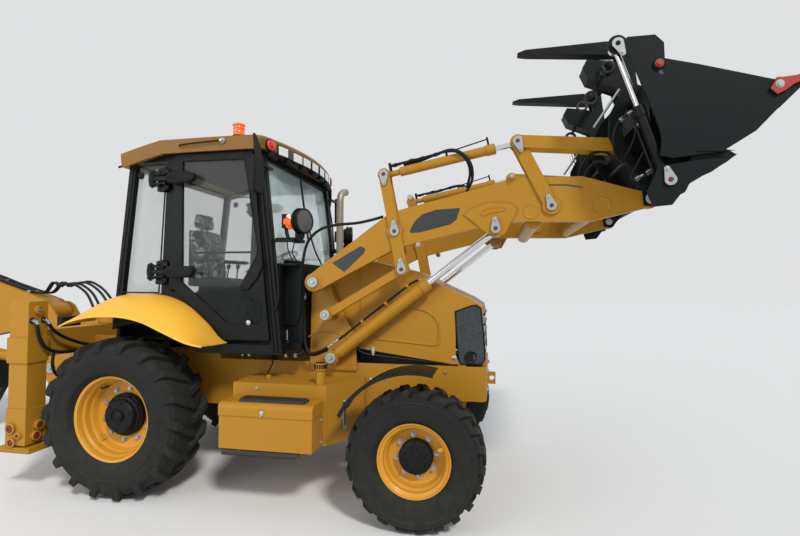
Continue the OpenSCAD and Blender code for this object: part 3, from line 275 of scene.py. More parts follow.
material("plastic", "#0F1213", rough=0.6, vary=0.05, bump=0.3, grain=400, dust=0.04, spec=0.2)
material("blank", "#23262A", rough=0.35, coat=0.3, dust=0.08, vary=0.05, edge=0.001)
material("mesh", "#121617", rough=0.3, bump=0.15, dust=0.03, vary=0.05, edge=0, spec=0.4)
material("pipe", "#9C9484", rough=0.42, metal=0.35, vary=0.08, dust=0.05, edge=0)
material("nub", "#6B2A22", rough=0.5, vary=0.05, dust=0.05, edge=0)

# Pierced mesh of the nose
tree = MATS["mesh"].node_tree
shader = tree.nodes["Principled BSDF"]
coords = node(tree, "TexCoord").outputs["Object"]
holes = node(tree, "TexVoronoi", [("Vector", coords)], Scale=110.0)
dots = ramp(tree, holes.outputs["Distance"], [(0.3, grey(0)), (0.4, grey(1))])
tree.links.new(mix(tree, dots, lin("#050607"), lin("#3A3E40")), shader.inputs["Base Color"])
# Creased clear wrapping of the seat; the pale patches in its colour are painted highlights on the creases
material("wrapped", "#4A5153", rough=0.2, vary=0.1, bump=0.0, dust=0.0, coat=0.9, edge=0)
tree = MATS["wrapped"].node_tree
shader = tree.nodes["Principled BSDF"]
coords = node(tree, "TexCoord").outputs["Object"]
fold = node(tree, "TexNoise", [("Vector", coords)], Scale=7.0, Detail=3.0, Distortion=2.2)
# Dark to near-white ramp over the folds: the pale end is painted highlight
crease_highlight_tone = ramp(tree, fold.outputs["Fac"], [(0.4, lin("#1B2223")), (0.52, lin("#56605F")), (0.6, lin("#C9D3D2"))])
tree.links.new(crease_highlight_tone, shader.inputs["Base Color"])
flow = node(tree, "Mapping", [("Vector", coords)], Scale=(14, 9, 3)).outputs[0]
folds = node(tree, "TexNoise", [("Vector", flow)], Scale=1.6, Detail=4.0, Roughness=0.6,
             Distortion=1.5).outputs["Fac"]
crease = node(tree, "Bump", [("Height", folds)], Strength=1.0, Distance=0.05)
tree.links.new(crease.outputs[0], shader.inputs["Normal"])
tree.links.new(crease.outputs[0], shader.inputs["Coat Normal"])
glass("glass", "#8E9C9A", alpha=0.16)
glass("tint", "#26302C", alpha=0.16)
glass("screen", "#C4D8DF", alpha=0.38)
glass("clear", "#D8DEDD", alpha=0.12)

slot_material = {
    "chassis_paint": "ochre", "fender_paint": "amber", "dark_paint": "black", "frame_paint": "black",
    "rod_chrome": "chrome", "pin_steel": "steel", "block_iron": "iron", "tyre_rubber": "rubber",
    "window_glass": "glass", "trim_plastic": "plastic", "bucket_steel": "coal",
}
for part in frame["record"]["subparts"]:
    obj = nodes[part["node"]]
    mat = MATS[slot_material[part["material_slot"]]]
    for s in obj.material_slots:
        s.material = mat
# The roof takes the darker roof paint, which is painted shade
nodes["cab_roof"].material_slots[0].material = MATS["roof"]


# Mesh helpers: a Shape collects closed forms and becomes one piece
class Shape:
    def __init__(self):
        self.bm = bmesh.new()

    def quads(self, rings, close=True, caps=True):
        loops = [[self.bm.verts.new(at(p)) for p in ring] for ring in rings]
        n = len(loops[0])
        for a, b in zip(loops, loops[1:]):
            for i in range(n if close else n - 1):
                self.bm.faces.new((a[i], a[(i + 1) % n], b[(i + 1) % n], b[i]))
        if caps:
            self.bm.faces.new(list(reversed(loops[0])))
            self.bm.faces.new(loops[-1])
        return self

    def box(self, x0, x1, y0, y1, z0, z1):
        return self.quads([[(x, y0, z0), (x, y1, z0), (x, y1, z1), (x, y0, z1)] for x in (x0, x1)])

    def slab(self, pts, y0, y1):
        return self.quads([[(x, y, z) for x, z in pts] for y in (y0, y1)])

    def plate(self, outer, holes, y0, y1):
        edges = []
        for pts in [outer] + list(holes):
            loop = [self.bm.verts.new(W(x, y0, z)) for x, z in pts]
            edges += [self.bm.edges.new((loop[i], loop[(i + 1) % len(loop)])) for i in range(len(loop))]
        made = bmesh.ops.triangle_fill(self.bm, edges=edges, use_beauty=True)["geom"]
        faces = [g for g in made if isinstance(g, bmesh.types.BMFace)]
        more = bmesh.ops.extrude_face_region(self.bm, geom=faces, use_keep_orig=True)["geom"]
        for v in more:
            if isinstance(v, bmesh.types.BMVert):
                v.co.y = y1
        return self

    def ring(self, c, axis, r, n):
        return circle(c, *square_to(axis), r, n)

    def rod(self, p, q, r, n=20):
        p, q = at(p), at(q)
        return self.quads([self.ring(p, q - p, r, n), self.ring(q, q - p, r, n)])

    def lathe(self, c, axis, prof, n=32):
        c, a = at(c), Vector(axis).normalized()
        return self.quads([self.ring(c + a * h, a, max(r, 0.0004), n) for r, h in prof])

    def bolt(self, p, axis, r=0.012, h=0.012):
        p, a = at(p), Vector(axis).normalized()
        self.quads([self.ring(p, a, r * 1.5, 16), self.ring(p + a * h * 0.25, a, r * 1.5, 16)])
        return self.quads([self.ring(p + a * h * 0.25, a, r, 6), self.ring(p + a * h, a, r, 6)])

    def tube(self, pts, r, n=10):
        pts = smooth([at(p) for p in pts])
        rings = []
        side_v = None
        for i, p in enumerate(pts):
            d = (pts[min(i + 1, len(pts) - 1)] - pts[max(i - 1, 0)]).normalized()
            if side_v is None:
                side_v = d.orthogonal()
            side_v = (side_v - d * side_v.dot(d)).normalized()
            rings.append(circle(p, side_v, d.cross(side_v), r, n))
        return self.quads(rings)

    def mirror(self):
        geo = bmesh.ops.duplicate(self.bm,
                                  geom=self.bm.verts[:] + self.bm.edges[:] + self.bm.faces[:])["geom"]
        faces = [g for g in geo if isinstance(g, bmesh.types.BMFace)]
        for v in (g for g in geo if isinstance(g, bmesh.types.BMVert)):
            v.co.y = -v.co.y
        bmesh.ops.reverse_faces(self.bm, faces=faces)
        return self

    def done(self, name, mat, body="machine", replaces=(), bevel=0.0, seg=2, angle=35.0):
        bmesh.ops.recalc_face_normals(self.bm, faces=self.bm.faces)
        mesh = bpy.data.meshes.new(name)
        self.bm.to_mesh(mesh)
        self.bm.free()
        obj = bpy.data.objects.new(name, mesh)
        bpy.context.scene.collection.objects.link(obj)
        mesh.materials.append(MATS[mat])
        if bevel:
            mod = obj.modifiers.new("bevel", "BEVEL")
            mod.width = bevel
            mod.segments = seg
            mod.limit_method = "ANGLE"
            mod.angle_limit = math.radians(angle)
        for poly in mesh.polygons:
            poly.use_smooth = True
        mesh.set_sharp_from_angle(angle=math.radians(angle))
        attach(obj, body)
        if replaces:
            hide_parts(*replaces)
        return obj

    # The forms and their mirror images as one piece
    def pair(self, *args, **looks):
        return self.mirror().done(*args, **looks)


def spline(a, b, c, d, t):
    return 0.5 * (2 * b + (c - a) * t + (2 * a - 5 * b + 4 * c - d) * t * t
                  + (3 * b - a - 3 * c + d) * t ** 3)


def smooth(pts, steps=6):
    if len(pts) < 3:
        return pts
    ext = [2 * pts[0] - pts[1]] + list(pts) + [2 * pts[-1] - pts[-2]]
    out = []
    for i in range(1, len(ext) - 2):
        out += [spline(*ext[i - 1:i + 3], k / steps) for k in range(steps)]
    out.append(pts[-1])
    return out


# Loader pins in the side view
H = (1.475, 1.668)
G = (1.58, 1.412)
I = (1.597, 1.064)
B = (2.132, 2.061)
C = (2.188, 1.769)
A = (2.045, 2.504)
D = (2.892, 2.07)
F = (3.289, 2.228)
E = (3.052, 2.707)
J = (3.955, 2.258)

# Floor, backdrop and light
floor = Shape()
floor.quads([[Vector((-40, -40, 0)), Vector((40, -40, 0))], [Vector((-40, 40, 0)), Vector((40, 40, 0))]],
            close=False, caps=False)
floor_mesh = bpy.data.meshes.new("floor")
floor.bm.to_mesh(floor_mesh)
floor_obj = bpy.data.objects.new("floor", floor_mesh)
bpy.context.scene.collection.objects.link(floor_obj)
fm = bpy.data.materials.new("floor")
fm.use_nodes = True
fm.node_tree.nodes["Principled BSDF"].inputs["Base Color"].default_value = (0.78, 0.78, 0.77, 1)
fm.node_tree.nodes["Principled BSDF"].inputs["Roughness"].default_value = 0.9
floor_mesh.materials.append(fm)

world = bpy.data.worlds.new("world")
bpy.context.scene.world = world
world.use_nodes = True
wt = world.node_tree
bg = wt.nodes["Background"]
path = node(wt, "LightPath")
seen = node(wt, "Math", [(0, path.outputs["Is Camera Ray"]), (1, path.outputs["Is Transmission Ray"])],
            operation="MAXIMUM")
seen = node(wt, "Math", [(0, seen.outputs[0]), (1, path.outputs["Is Glossy Ray"])], operation="MAXIMUM")
wt.links.new(mix(wt, seen.outputs[0], (0.62, 0.66, 0.72, 1), (0.93, 0.94, 0.95, 1)), bg.inputs[0])
bg.inputs[1].default_value = 0.8


def lamp(name, kind, energy, place, aim, size=1.0, colour=(1, 1, 1)):
    data = bpy.data.lights.new(name, kind)
    data.energy = energy
    data.color = colour
    if kind == "SUN":
        data.angle = size
    else:
        data.shape = "RECTANGLE"
        data.size = size
        data.size_y = size
    obj = bpy.data.objects.new(name, data)
    bpy.context.scene.collection.objects.link(obj)
    obj.matrix_world = Matrix.Translation(place) @ (aim - place).to_track_quat("-Z", "Y").to_matrix().to_4x4()


lamp("sun", "SUN", 2.1, Vector((5, -7, 9)), Vector((0, 0, 1)), math.radians(9), (1, 0.97, 0.92))
lamp("fill", "AREA", 220, Vector((-4, -8, 4)), Vector((0, 0, 1.5)), 5.0)


# Wheels: tyres with lugs, dished rims, hubs and bolts
class Wheel:
    def __init__(self, cx, y, z):
        self.base = W(cx, y, z)
        self.s = -1 if y < 0 else 1

    def at(self, r, t, a):
        return self.base + Vector((r * math.cos(a), self.s * t, r * math.sin(a)))


def revolve(shape, wheel, prof, n=96):
    rings = [[wheel.at(r, t, 2 * math.pi * i / n) for r, t in prof] for i in range(n)]
    loops = [[shape.bm.verts.new(p) for p in ring] for ring in rings]
    m = len(prof)
    for i in range(n):
        a, b = loops[i], loops[(i + 1) % n]
        for k in range(m):
            shape.bm.faces.new((a[k], a[(k + 1) % m], b[(k + 1) % m], b[k]))


def tyre(name, body, old, wheel, R, w, seat, ring_r, count, lead, top_half, shoulder_half, depth):
    h = w / 2
    s = Shape()
    half = [(seat + 0.0005, h - 0.064), (seat + 0.018, h - 0.058), (seat + 0.035, h - 0.035),
            (seat + 0.052, h - 0.014), (seat + 0.075, h - 0.005), (ring_r - 0.012, h - 0.001),
            (ring_r - 0.006, h + 0.003), (ring_r, h - 0.002), (ring_r + 0.03, h - 0.002),
            (R - 0.11, h - 0.012), (R - 0.085, h - 0.017), (R - 0.078, h - 0.028), (R - 0.055, h - 0.045),
            (R - depth - 0.008, h * 0.6), (R - depth, h * 0.2)]
    prof = half + [(r, -t) for r, t in reversed(half)]
    revolve(s, wheel, prof, 120)
    tops = [(-0.06 * h, R), (0.25 * h, R), (0.55 * h, R - 0.001), (0.76 * h, R - 0.006), (0.9 * h, R - 0.022),
            (h - 0.004, R - 0.055), (h - 0.0035, R - 0.098)]
    feet = [(-0.06 * h, R - depth - 0.006), (0.25 * h, R - depth - 0.008), (0.5 * h, R - depth - 0.012),
            (0.62 * h, R - depth - 0.03), (0.72 * h, R - depth - 0.055), (h - 0.045, R - 0.085),
            (h - 0.03, R - 0.11)]
    for side in (1, -1):
        for k in range(count):
            a0 = 2 * math.pi * (k + (0.5 if side < 0 else 0)) / count
            rings = []
            for (t, r), (tb, rb) in zip(tops, feet):
                f = min(max(t / h, 0), 1)
                mid = a0 - lead * (1 - f ** 1.15)
                hw = (top_half + (shoulder_half - top_half) * min(f * 1.25, 1) ** 2) / R
                hb = hw + 0.012 / R
                rings.append([wheel.at(r, side * t, mid - hw), wheel.at(r, side * t, mid + hw),
                              wheel.at(rb, side * tb, mid + hb), wheel.at(rb, side * tb, mid - hb)])
            s.quads(rings)
    s.done(name, "rubber", body, [old], angle=28)


def rear_wheel(tag, side):
    wheel = Wheel(0, side * 0.893, REAR_R)
    body = "rear_" + tag + "_wheel"
    tyre("rear_tyre_" + tag, body, "tyre_rear_" + tag, wheel, REAR_R, 0.44, 0.305, 0.452, 18, 0.2,
         0.019, 0.03, 0.03)
    s = Shape()
    revolve(s, wheel, [(0.351, 0.172), (0.349, 0.18), (0.338, 0.18), (0.331, 0.17), (0.322, 0.163),
                       (0.309, 0.159), (0.302, 0.15), (0.3, 0.118), (0.292, 0.106), (0.287, 0.1),
                       (0.285, 0.055), (0.276, 0.042), (0.272, 0.036), (0.27, 0.005), (0.262, -0.008),
                       (0.245, -0.014), (0.16, -0.014), (0.16, -0.03), (0.25, -0.03), (0.28, -0.034),
                       (0.288, -0.05), (0.292, -0.15), (0.338, -0.168), (0.349, -0.18), (0.351, -0.172),
                       (0.312, -0.158), (0.305, -0.15), (0.305, 0.15), (0.312, 0.158)], 96)
    for k in range(4):
        a = math.pi / 4 + k * math.pi / 2
        s.quads([[wheel.at(0.262, t, a - 0.09), wheel.at(0.262, t, a + 0.09), wheel.at(0.288, t, a + 0.07),
                  wheel.at(0.288, t, a - 0.07)] for t in (-0.012, 0.05)])
    s.done("rear_rim_" + tag, "rim", body, ["rim_rear_" + tag], angle=30)
    s = Shape()
    ax = Vector((0, wheel.s, 0))
    s.lathe(wheel.base, ax, [(0.165, -0.1), (0.168, -0.015), (0.168, 0.018), (0.162, 0.026), (0.15, 0.028),
                             (0.147, 0.04), (0.138, 0.046), (0.131, 0.048), (0.129, 0.078), (0.121, 0.088),
                             (0.1, 0.09), (0.062, 0.09), (0.058, 0.082), (0.042, 0.08), (0.038, 0.096),
                             (0.03, 0.1), (0.0, 0.1)], 64)
    for k in range(10):
        s.bolt(wheel.at(0.148, 0.026, k * math.pi / 5), ax, 0.011, 0.014)
    for k in range(6):
        s.bolt(wheel.at(0.105, 0.089, k * math.pi / 3 + 0.3), ax, 0.008, 0.009)
    s.done("rear_hub_" + tag, "black", body, angle=30)
    s = Shape()
    for k in range(10):
        s.bolt(wheel.at(0.205, -0.014, k * math.pi / 5 + 0.2), ax, 0.015, 0.02)
    s.done("rear_nuts_" + tag, "steel", body)
    s = Shape()
    s.rod(wheel.at(0.268, 0.01, 2.2), wheel.at(0.262, 0.075, 2.2), 0.006, 12)
    s.rod(wheel.at(0.262, 0.075, 2.2), wheel.at(0.2615, 0.09, 2.2), 0.0085, 12)
    s.done("rear_valve_" + tag, "plastic", body)


def front_wheel(tag, side):
    wheel = Wheel(WHEELBASE, side * 0.975, FRONT_R)
    body = "front_" + tag + "_wheel"
    tyre("front_tyre_" + tag, body, "tyre_front_" + tag, wheel, FRONT_R, 0.32, 0.229, 0.4, 22, 0.16,
         0.019, 0.03, 0.026)
    s = Shape()
    revolve(s, wheel, [(0.2525, 0.112), (0.251, 0.12), (0.243, 0.12), (0.238, 0.111), (0.23, 0.103),
                       (0.222, 0.1), (0.216, 0.094), (0.214, 0.068), (0.206, 0.057), (0.2, 0.05),
                       (0.198, 0.01), (0.19, -0.008), (0.178, -0.016), (0.1, -0.018), (0.1, -0.034),
                       (0.18, -0.034), (0.204, -0.038), (0.21, -0.05), (0.215, -0.095), (0.243, -0.11),
                       (0.251, -0.12), (0.2525, -0.112), (0.236, -0.1), (0.2288, -0.09), (0.2288, 0.09),
                       (0.236, 0.1)], 96)
    s.done("front_rim_" + tag, "rim", body, ["rim_front_" + tag], angle=30)
    ax = Vector((0, wheel.s, 0))
    s = Shape()
    s.lathe(wheel.base, ax, [(0.115, -0.1), (0.118, -0.02), (0.118, 0.03), (0.112, 0.044), (0.1, 0.05),
                             (0.03, 0.052), (0.0, 0.052)], 64)
    for k in range(5):
        c = wheel.at(0.062, 0.05, k * 2 * math.pi / 5 + 0.5)
        s.lathe(c, ax, [(0.024, -0.002), (0.024, 0.004), (0.021, 0.008), (0.0, 0.009)], 24)
    for k in range(8):
        s.bolt(wheel.at(0.105, 0.046, k * math.pi / 4), ax, 0.006, 0.008)
    s.done("front_hub_" + tag, "black", body, angle=30)
    s = Shape()
    for k in range(8):
        c = wheel.at(0.142, -0.018, k * math.pi / 4 + 0.15)
        s.bolt(c, ax, 0.013, 0.018)
        s.rod(c + ax * 0.018, c + ax * 0.03, 0.007, 12)
    s.done("front_nuts_" + tag, "steel", body)
    s = Shape()
    a = 0.42
    s.quads([[wheel.at(r, 0.05, a - 0.07), wheel.at(r, 0.05, a + 0.07), wheel.at(r, 0.09, a + 0.07),
              wheel.at(r, 0.09, a - 0.07)] for r in (0.175, 0.216)])
    s.done("front_clip_" + tag, "rim", body, bevel=0.004)


for tag, side in LONG_SIDES:
    rear_wheel(tag, side)
    front_wheel(tag, side)


# Pin ends: teardrop retainers and round caps, mirrored to the other side
def teardrop(s, p, d, length, r1, r2, y0, y1, n=12):
    d = Vector((d[0], d[1])).normalized()
    base = math.atan2(d.y, d.x)
    pts = []
    for i in range(n + 1):
        a = base + math.pi / 2 + math.pi * i / n
        pts.append((p[0] + r1 * math.cos(a), p[1] + r1 * math.sin(a)))
    q = (p[0] + d.x * length, p[1] + d.y * length)
    for i in range(n + 1):
        a = base - math.pi / 2 + math.pi * i / n
        pts.append((q[0] + r2 * math.cos(a), q[1] + r2 * math.sin(a)))
    s.slab(pts, y0, y1)


def retainer(name, body, p, d, y=0.692, cap="nub"):
    s = Shape()
    teardrop(s, p, d, 0.07, 0.036, 0.017, -y - 0.008, -y + 0.0005)
    s.pair(name, "plate", body, bevel=0.0015)
    Shape().bolt((p[0], -y - 0.008, p[1]), -Y, 0.01, 0.01).pair(name + "_cap", cap, body)
    s = Shape()
    u = Vector((d[0], d[1])).normalized()
    s.bolt((p[0] + u.x * 0.0644, -y - 0.008, p[1] + u.y * 0.0644), -Y, 0.008, 0.008)
    s.pair(name + "_bolt", "steel", body)


def round_cap(name, body, p, y=0.692, r=0.038, mat="plate"):
    s = Shape()
    s.lathe((p[0], -y + 0.0005, p[1]), -Y, [(r, 0), (r, 0.007), (r - 0.004, 0.011), (r * 0.55, 0.011),
                                            (r * 0.5, 0.007), (0, 0.007)], 40)
    s.pair(name, mat, body)
    Shape().bolt((p[0], -y - 0.006, p[1]), -Y, 0.012, 0.014).pair(name + "_bolt", "steel", body)


retainer("keeper_A", "lever_set", A, (0.06, -1))
retainer("keeper_B", "lever_set", B, (-0.08, 1))
retainer("keeper_C", "lever_set", C, (-0.15, 1))
retainer("keeper_D", "arm_pair", D, (-0.06, 1))
retainer("keeper_F", "crank_pins", F, (-0.35, 1))
retainer("keeper_E", "tilt_link_pins", E, (0.35, -1), y=0.705)
round_cap("cap_H", "machine", H, r=0.042)
round_cap("cap_G", "machine", G, r=0.04)
round_cap("cap_I", "machine", I, y=0.599, r=0.042)
retainer("keeper_clam_rod", "clam", (3.642, 3.162), (0.45, -1), y=1.138, cap="black")
retainer("keeper_clam_base", "shovel", (3.933, 2.297), (-0.3, 1), y=1.138)
round_cap("cap_clam", "shovel", (3.878, 3.016), y=1.136, r=0.036, mat="coal")
round_cap("cap_J", "bucket_pins", J, y=0.704, r=0.04)

# Washer around the arm's pivot
s = Shape()
s.lathe((H[0], -ARM_SIDE, H[1]), -Y, [(0.07, -0.001), (0.07, 0.004), (0.066, 0.006), (0.034, 0.006),
                                      (0.033, -0.001)], 48)
s.pair("arm_pivot_ring", "ochre", "arm_pair")

# Embossed rounds and lugs on the arms
s = Shape()
for x, z, r in ((3.146, 2.194, 0.053), (3.628, 2.22, 0.064)):
    s.lathe((x, 0.0005 - ARM_SIDE, z), -Y, [(r + 0.006, -0.001), (r + 0.004, 0.004), (r, 0.0055),
                                            (r - 0.006, 0.0035), (r - 0.01, 0.001), (r - 0.012, -0.001)], 48)
s.pair("arm_rounds", "ochre", "arm_pair", angle=60)
lugs = ((2.252, 2.318, 0.022, 0.02), (3.01, 2.452, 0.026, 0.03), (2.316, 1.957, 0.022, 0.02))
s = Shape()
for x, z, r, h in lugs:
    s.rod((x, -0.64, z), (x, -ARM_SIDE - h, z), r, 24)
s.pair("arm_lugs", "ochre", "arm_pair", bevel=0.002)
s = Shape()
for x, z, r, h in lugs:
    s.bolt((x, -ARM_SIDE - h, z), -Y, 0.011, 0.012)
s.pair("arm_lug_bolts", "steel", "arm_pair")


# Raised rim around a plate outline, as a weld bead
def bead(s, pts, y, r=0.004, closed=True, n=6):
    path = [W(x, y, z) for x, z in pts]
    if closed:
        path.append(path[0])
    for a, b in zip(path, path[1:]):
        s.rod(a, b, r, n)
    for p in path:
        s.quads([s.ring(p + Y * t * r, Y, r * math.sqrt(1 - t * t), n) for t in (-0.9, -0.4, 0.4, 0.9)])


gusset = [(2.66, 2.18), (2.702, 2.22), (2.837, 2.27), (3.002, 2.26), (3.052, 2.21), (2.952,
                                                                                     2.025), (2.857, 2.02)]
s = Shape()
bead(s, gusset, -0.6745, 0.0045)
s.pair("gusset_weld", "ochre", "arm_pair", angle=80)
# Curved slot in the gusset
slot = [(2.785, 2.178), (2.8, 2.204), (2.837, 2.221), (2.9, 2.227), (2.956, 2.224), (2.963, 2.212),
        (2.945, 2.199), (2.9, 2.193), (2.86, 2.188), (2.82, 2.172), (2.8, 2.167)]
Shape().slab(slot, -0.6765, -0.674).pair("gusset_slot_floor", "ochre", "arm_pair")
s = Shape()
bead(s, slot, -0.676, 0.0045)
s.pair("gusset_slot", "ochre", "arm_pair", angle=80)
# Slit along the arm's front end, drawn as a dark plate: painted shade inside the slit
s = Shape()
s.slab([(3.255, 2.388), (3.262, 2.378), (3.4, 2.372), (3.505, 2.352), (3.51, 2.36),
        (3.4, 2.382)], -0.6685, -0.666)
s.pair("arm_slit", "blank", "arm_pair")
# Decal places stay as plain dark plates
plate1 = [(2.254, 2.048), (2.247, 2.065), (2.285, 2.137), (2.345, 2.19), (2.452, 2.222), (2.63, 2.23),
          (2.604, 2.143), (2.556, 2.108), (2.44, 2.08), (2.333, 2.053)]
plate2 = [(1.629, 1.822), (1.86, 1.952), (1.9, 1.93), (1.885, 1.895), (1.728, 1.75)]
s = Shape()
s.slab(plate1, -ARM_SIDE - 0.002, 0.0005 - ARM_SIDE)
s.slab(plate2, -ARM_SIDE - 0.002, 0.0005 - ARM_SIDE)
s.pair("arm_plain_plates", "blank", "arm_pair", bevel=0.0008)


# Ferrule on the end of a hose
def ferrule(s, p, q, r=0.014):
    p, q = W(*p), W(*q)
    d = q - p
    s.rod(p, p + d * 0.45, r, 12)
    s.rod(p + d * 0.45, q, r * 0.8, 12)
    s.rod(p + d * 0.4, p + d * 0.5, r * 1.35, 6)


on_lift = along(I, D)
s = Shape()
s.tube([on_lift(0.13, 0.078, -0.575), on_lift(0.3, 0.08, -0.565), on_lift(0.6, 0.08, -0.56),
        on_lift(0.86, 0.078, -0.555), on_lift(0.93, 0.066, -0.545), on_lift(0.945, 0.05, -0.54)], 0.009)
s.pair("lift_pipe", "hose", "lift_barrel_pair", angle=60)
s = Shape()
for a in (0.2, 0.38, 0.62, 0.84):
    s.rod(on_lift(a, 0.045, -0.555), on_lift(a, 0.086, -0.56), 0.008, 10)
    s.lathe(on_lift(a - 0.012, 0.08, -0.562), (D[0] - I[0], 0, D[1] - I[1]), [(0.014, 0), (0.014, 0.024)], 16)
s.rod(on_lift(0.945, 0.045, -0.54), on_lift(0.945, 0.07, -0.54), 0.016, 12)
s.pair("lift_clips", "ochre", "lift_barrel_pair")
s = Shape()
for a in (0.03, 0.09):
    ferrule(s, on_lift(a + 0.05, 0.082, -0.58), on_lift(a, 0.084, -0.583), 0.013)
s.pair("lift_ferrules", "steel", "lift_barrel_pair")

# Hoses that hang from the cab front to the lift cylinder
s = Shape()
s.tube([(1.352, -0.545, 1.7), (1.35, -0.55, 1.6), (1.352, -0.555, 1.45), (1.362, -0.56, 1.3),
        (1.37, -0.57, 1.18), (1.4, -0.585, 1.115), (1.44, -0.59, 1.098), (1.5, -0.588, 1.113),
        on_lift(0.03, 0.084, -0.583)], 0.0115)
s.tube([(1.335, -0.53, 1.7), (1.332, -0.53, 1.5), (1.34, -0.535, 1.3), (1.352, -0.54, 1.17),
        (1.385, -0.55, 1.095), (1.44, -0.56, 1.08), (1.5, -0.565, 1.1), on_lift(0.01, 0.07, -0.568)], 0.0115)
s.tube([(1.215, -0.57, 1.19), (1.212, -0.57, 1.25), (1.225, -0.572, 1.33), (1.26, -0.575, 1.375),
        (1.31, -0.575, 1.38), (1.352, -0.57, 1.33), (1.362, -0.565, 1.2), (1.38, -0.562, 1.12),
        (1.43, -0.56, 1.085)], 0.0105)
s.pair("tower_hoses", "hose", angle=60)
s = Shape()
for x, y, z in ((1.352, -0.545, 1.64), (1.352, -0.55, 1.53), (1.336, -0.53, 1.6), (1.336, -0.53, 1.48),
                (1.214, -0.57, 1.2), (1.214, -0.57, 1.23)):
    ferrule(s, (x, y, z), (x, y, z + 0.05), 0.014)
s.pair("tower_ferrules", "steel")
s = Shape()
s.tube([(1.345, -0.56, 1.7), (1.348, -0.58, 1.8), (1.365, -0.595, 1.9), (1.395, -0.6, 1.99),
        (1.45, -0.6, 2.06), (1.54, -0.595, 2.112), (1.66, -0.59, 2.134), (1.8, -0.587, 2.143),
        (1.92, -0.585, 2.165), (2.02, -0.585, 2.19)], 0.0115)
s.pair("arm_hoses", "hose", "arm_pair", angle=60)

# Tilt cylinders: hard pipes, hose loops and the level indicator
on_tilt = along(A, E)
s = Shape()
s.tube([on_tilt(0.1, 0.062, -0.65), on_tilt(0.25, 0.06, -0.652), on_tilt(0.42, 0.062, -0.655),
        on_tilt(0.5, 0.062, -0.665), on_tilt(0.585, 0.03, -0.69), on_tilt(0.64, -0.05, -0.69),
        on_tilt(0.645, -0.14, -0.66), on_tilt(0.6, -0.235, -0.62)], 0.0105)
s.tube([on_tilt(0.16, 0.05, -0.63), on_tilt(0.3, 0.05, -0.632), on_tilt(0.44, 0.068, -0.645),
        on_tilt(0.55, 0.06, -0.68), on_tilt(0.625, 0.0, -0.7), on_tilt(0.665, -0.09, -0.685),
        on_tilt(0.65, -0.19, -0.64), on_tilt(0.59, -0.26, -0.6)], 0.0105)
s.pair("tilt_hoses", "hose", "tilt_barrel_pair", angle=60)
s = Shape()
for a, b in ((0.08, 0.058), (0.21, 0.062), (0.3, 0.06), (0.4, 0.062)):
    ferrule(s, on_tilt(a, b, -0.65), on_tilt(a + 0.05, b, -0.651), 0.014)
s.rod(on_tilt(0.055, 0.02, -0.64), on_tilt(0.055, 0.085, -0.645), 0.012, 12)
s.rod(on_tilt(0.055, 0.06, -0.645), on_tilt(0.14, 0.06, -0.648), 0.011, 12)
s.pair("tilt_ferrules", "plastic", "tilt_barrel_pair")
s = Shape()
s.rod(on_tilt(0.5, 0.06, -0.64), on_tilt(0.82, 0.085, -0.64), 0.005, 10)
s.rod(on_tilt(0.82, 0.03, -0.64), on_tilt(0.82, 0.1, -0.64), 0.008, 12)
s.rod(on_tilt(0.5, 0.03, -0.64), on_tilt(0.5, 0.07, -0.64), 0.009, 12)
s.pair("level_rod", "plastic", "tilt_barrel_pair")


# Value at place t along a spline through a list of values
def curve(vals, t):
    i = min(int(t), len(vals) - 2)
    return spline(vals[max(i - 1, 0)], vals[i], vals[i + 1], vals[min(i + 2, len(vals) - 1)], t - i)


# Rear fenders as crowned shells
stations = [(-0.44, 1.345, 1.325), (-0.36, 1.43, 1.36), (-0.25, 1.515, 1.389), (-0.12, 1.563, 1.407),
            (0.08, 1.571, 1.41), (0.27, 1.547, 1.378), (0.46, 1.467, 1.303), (0.62, 1.338, 1.238),
            (0.71, 1.235, 1.214), (0.787, 1.189, 1.203)]
s = Shape()
rings = []
for k in range(73):
    t = k / 72 * (len(stations) - 1)
    x, zi, zo = (curve([c[j] for c in stations], t) for j in range(3))
    upper = []
    for y in (CAB_SIDE, 0.79, 0.84, 0.89, 0.94, 0.985, 1.02, 1.05, 1.072, 1.088, 1.1):
        u = (y - CAB_SIDE) / 0.353
        upper.append((y, zo + (zi - zo) * (1 - u ** 2.1)))
    ring = upper + [(1.109, zo - 0.003), (1.112, zo - 0.008), (1.111, zo - 0.014), (1.106, zo - 0.015)]
    ring += [(y - 0.003, z - 0.007) for y, z in reversed(upper)]
    rings.append([(x, -y, z) for y, z in ring])
s.quads(rings)
s.pair("fender_shells", "amber", replaces=["fenders"], angle=50)


# Front mudguards follow the front wheels
def around_front(y, r, a):
    return W(WHEELBASE + r * math.cos(a), y, FRONT_R + r * math.sin(a))


def sweep_front(steps, ring):
    rings = []
    for k in range(steps + 1):
        a = math.radians(152 - k / steps * 75)
        rings.append([around_front(-y, r, a) for y, r in ring])
    return Shape().quads(rings)


s = sweep_front(48, [(0.826, 0.598), (0.84, 0.6), (1.085, 0.6), (1.1, 0.597), (1.105, 0.588), (1.105, 0.574),
                     (1.101, 0.574), (1.1, 0.59), (0.83, 0.592), (0.826, 0.592)])
s.pair("mudguards", "black", angle=40)
s = Shape()
a = math.radians(126)
s.bolt(around_front(-0.86, 0.6, a), (math.cos(a), 0, math.sin(a)), 0.01, 0.01)
s.pair("mudguard_bolts", "steel")
s = sweep_front(40, [(1.101, 0.602), (1.112, 0.6), (1.112, 0.574), (1.106, 0.574)])
s.pair("mudguard_edges", "hose", angle=40)
# Stays that reach the mudguards from the chassis
s = Shape()
s.tube([(1.78, -0.62, 0.752), (1.785, -0.7, 0.757), (1.79, -0.8, 0.765), (1.8, -0.87, 0.78)], 0.012, 12)
s.pair("mudguard_stays", "black")
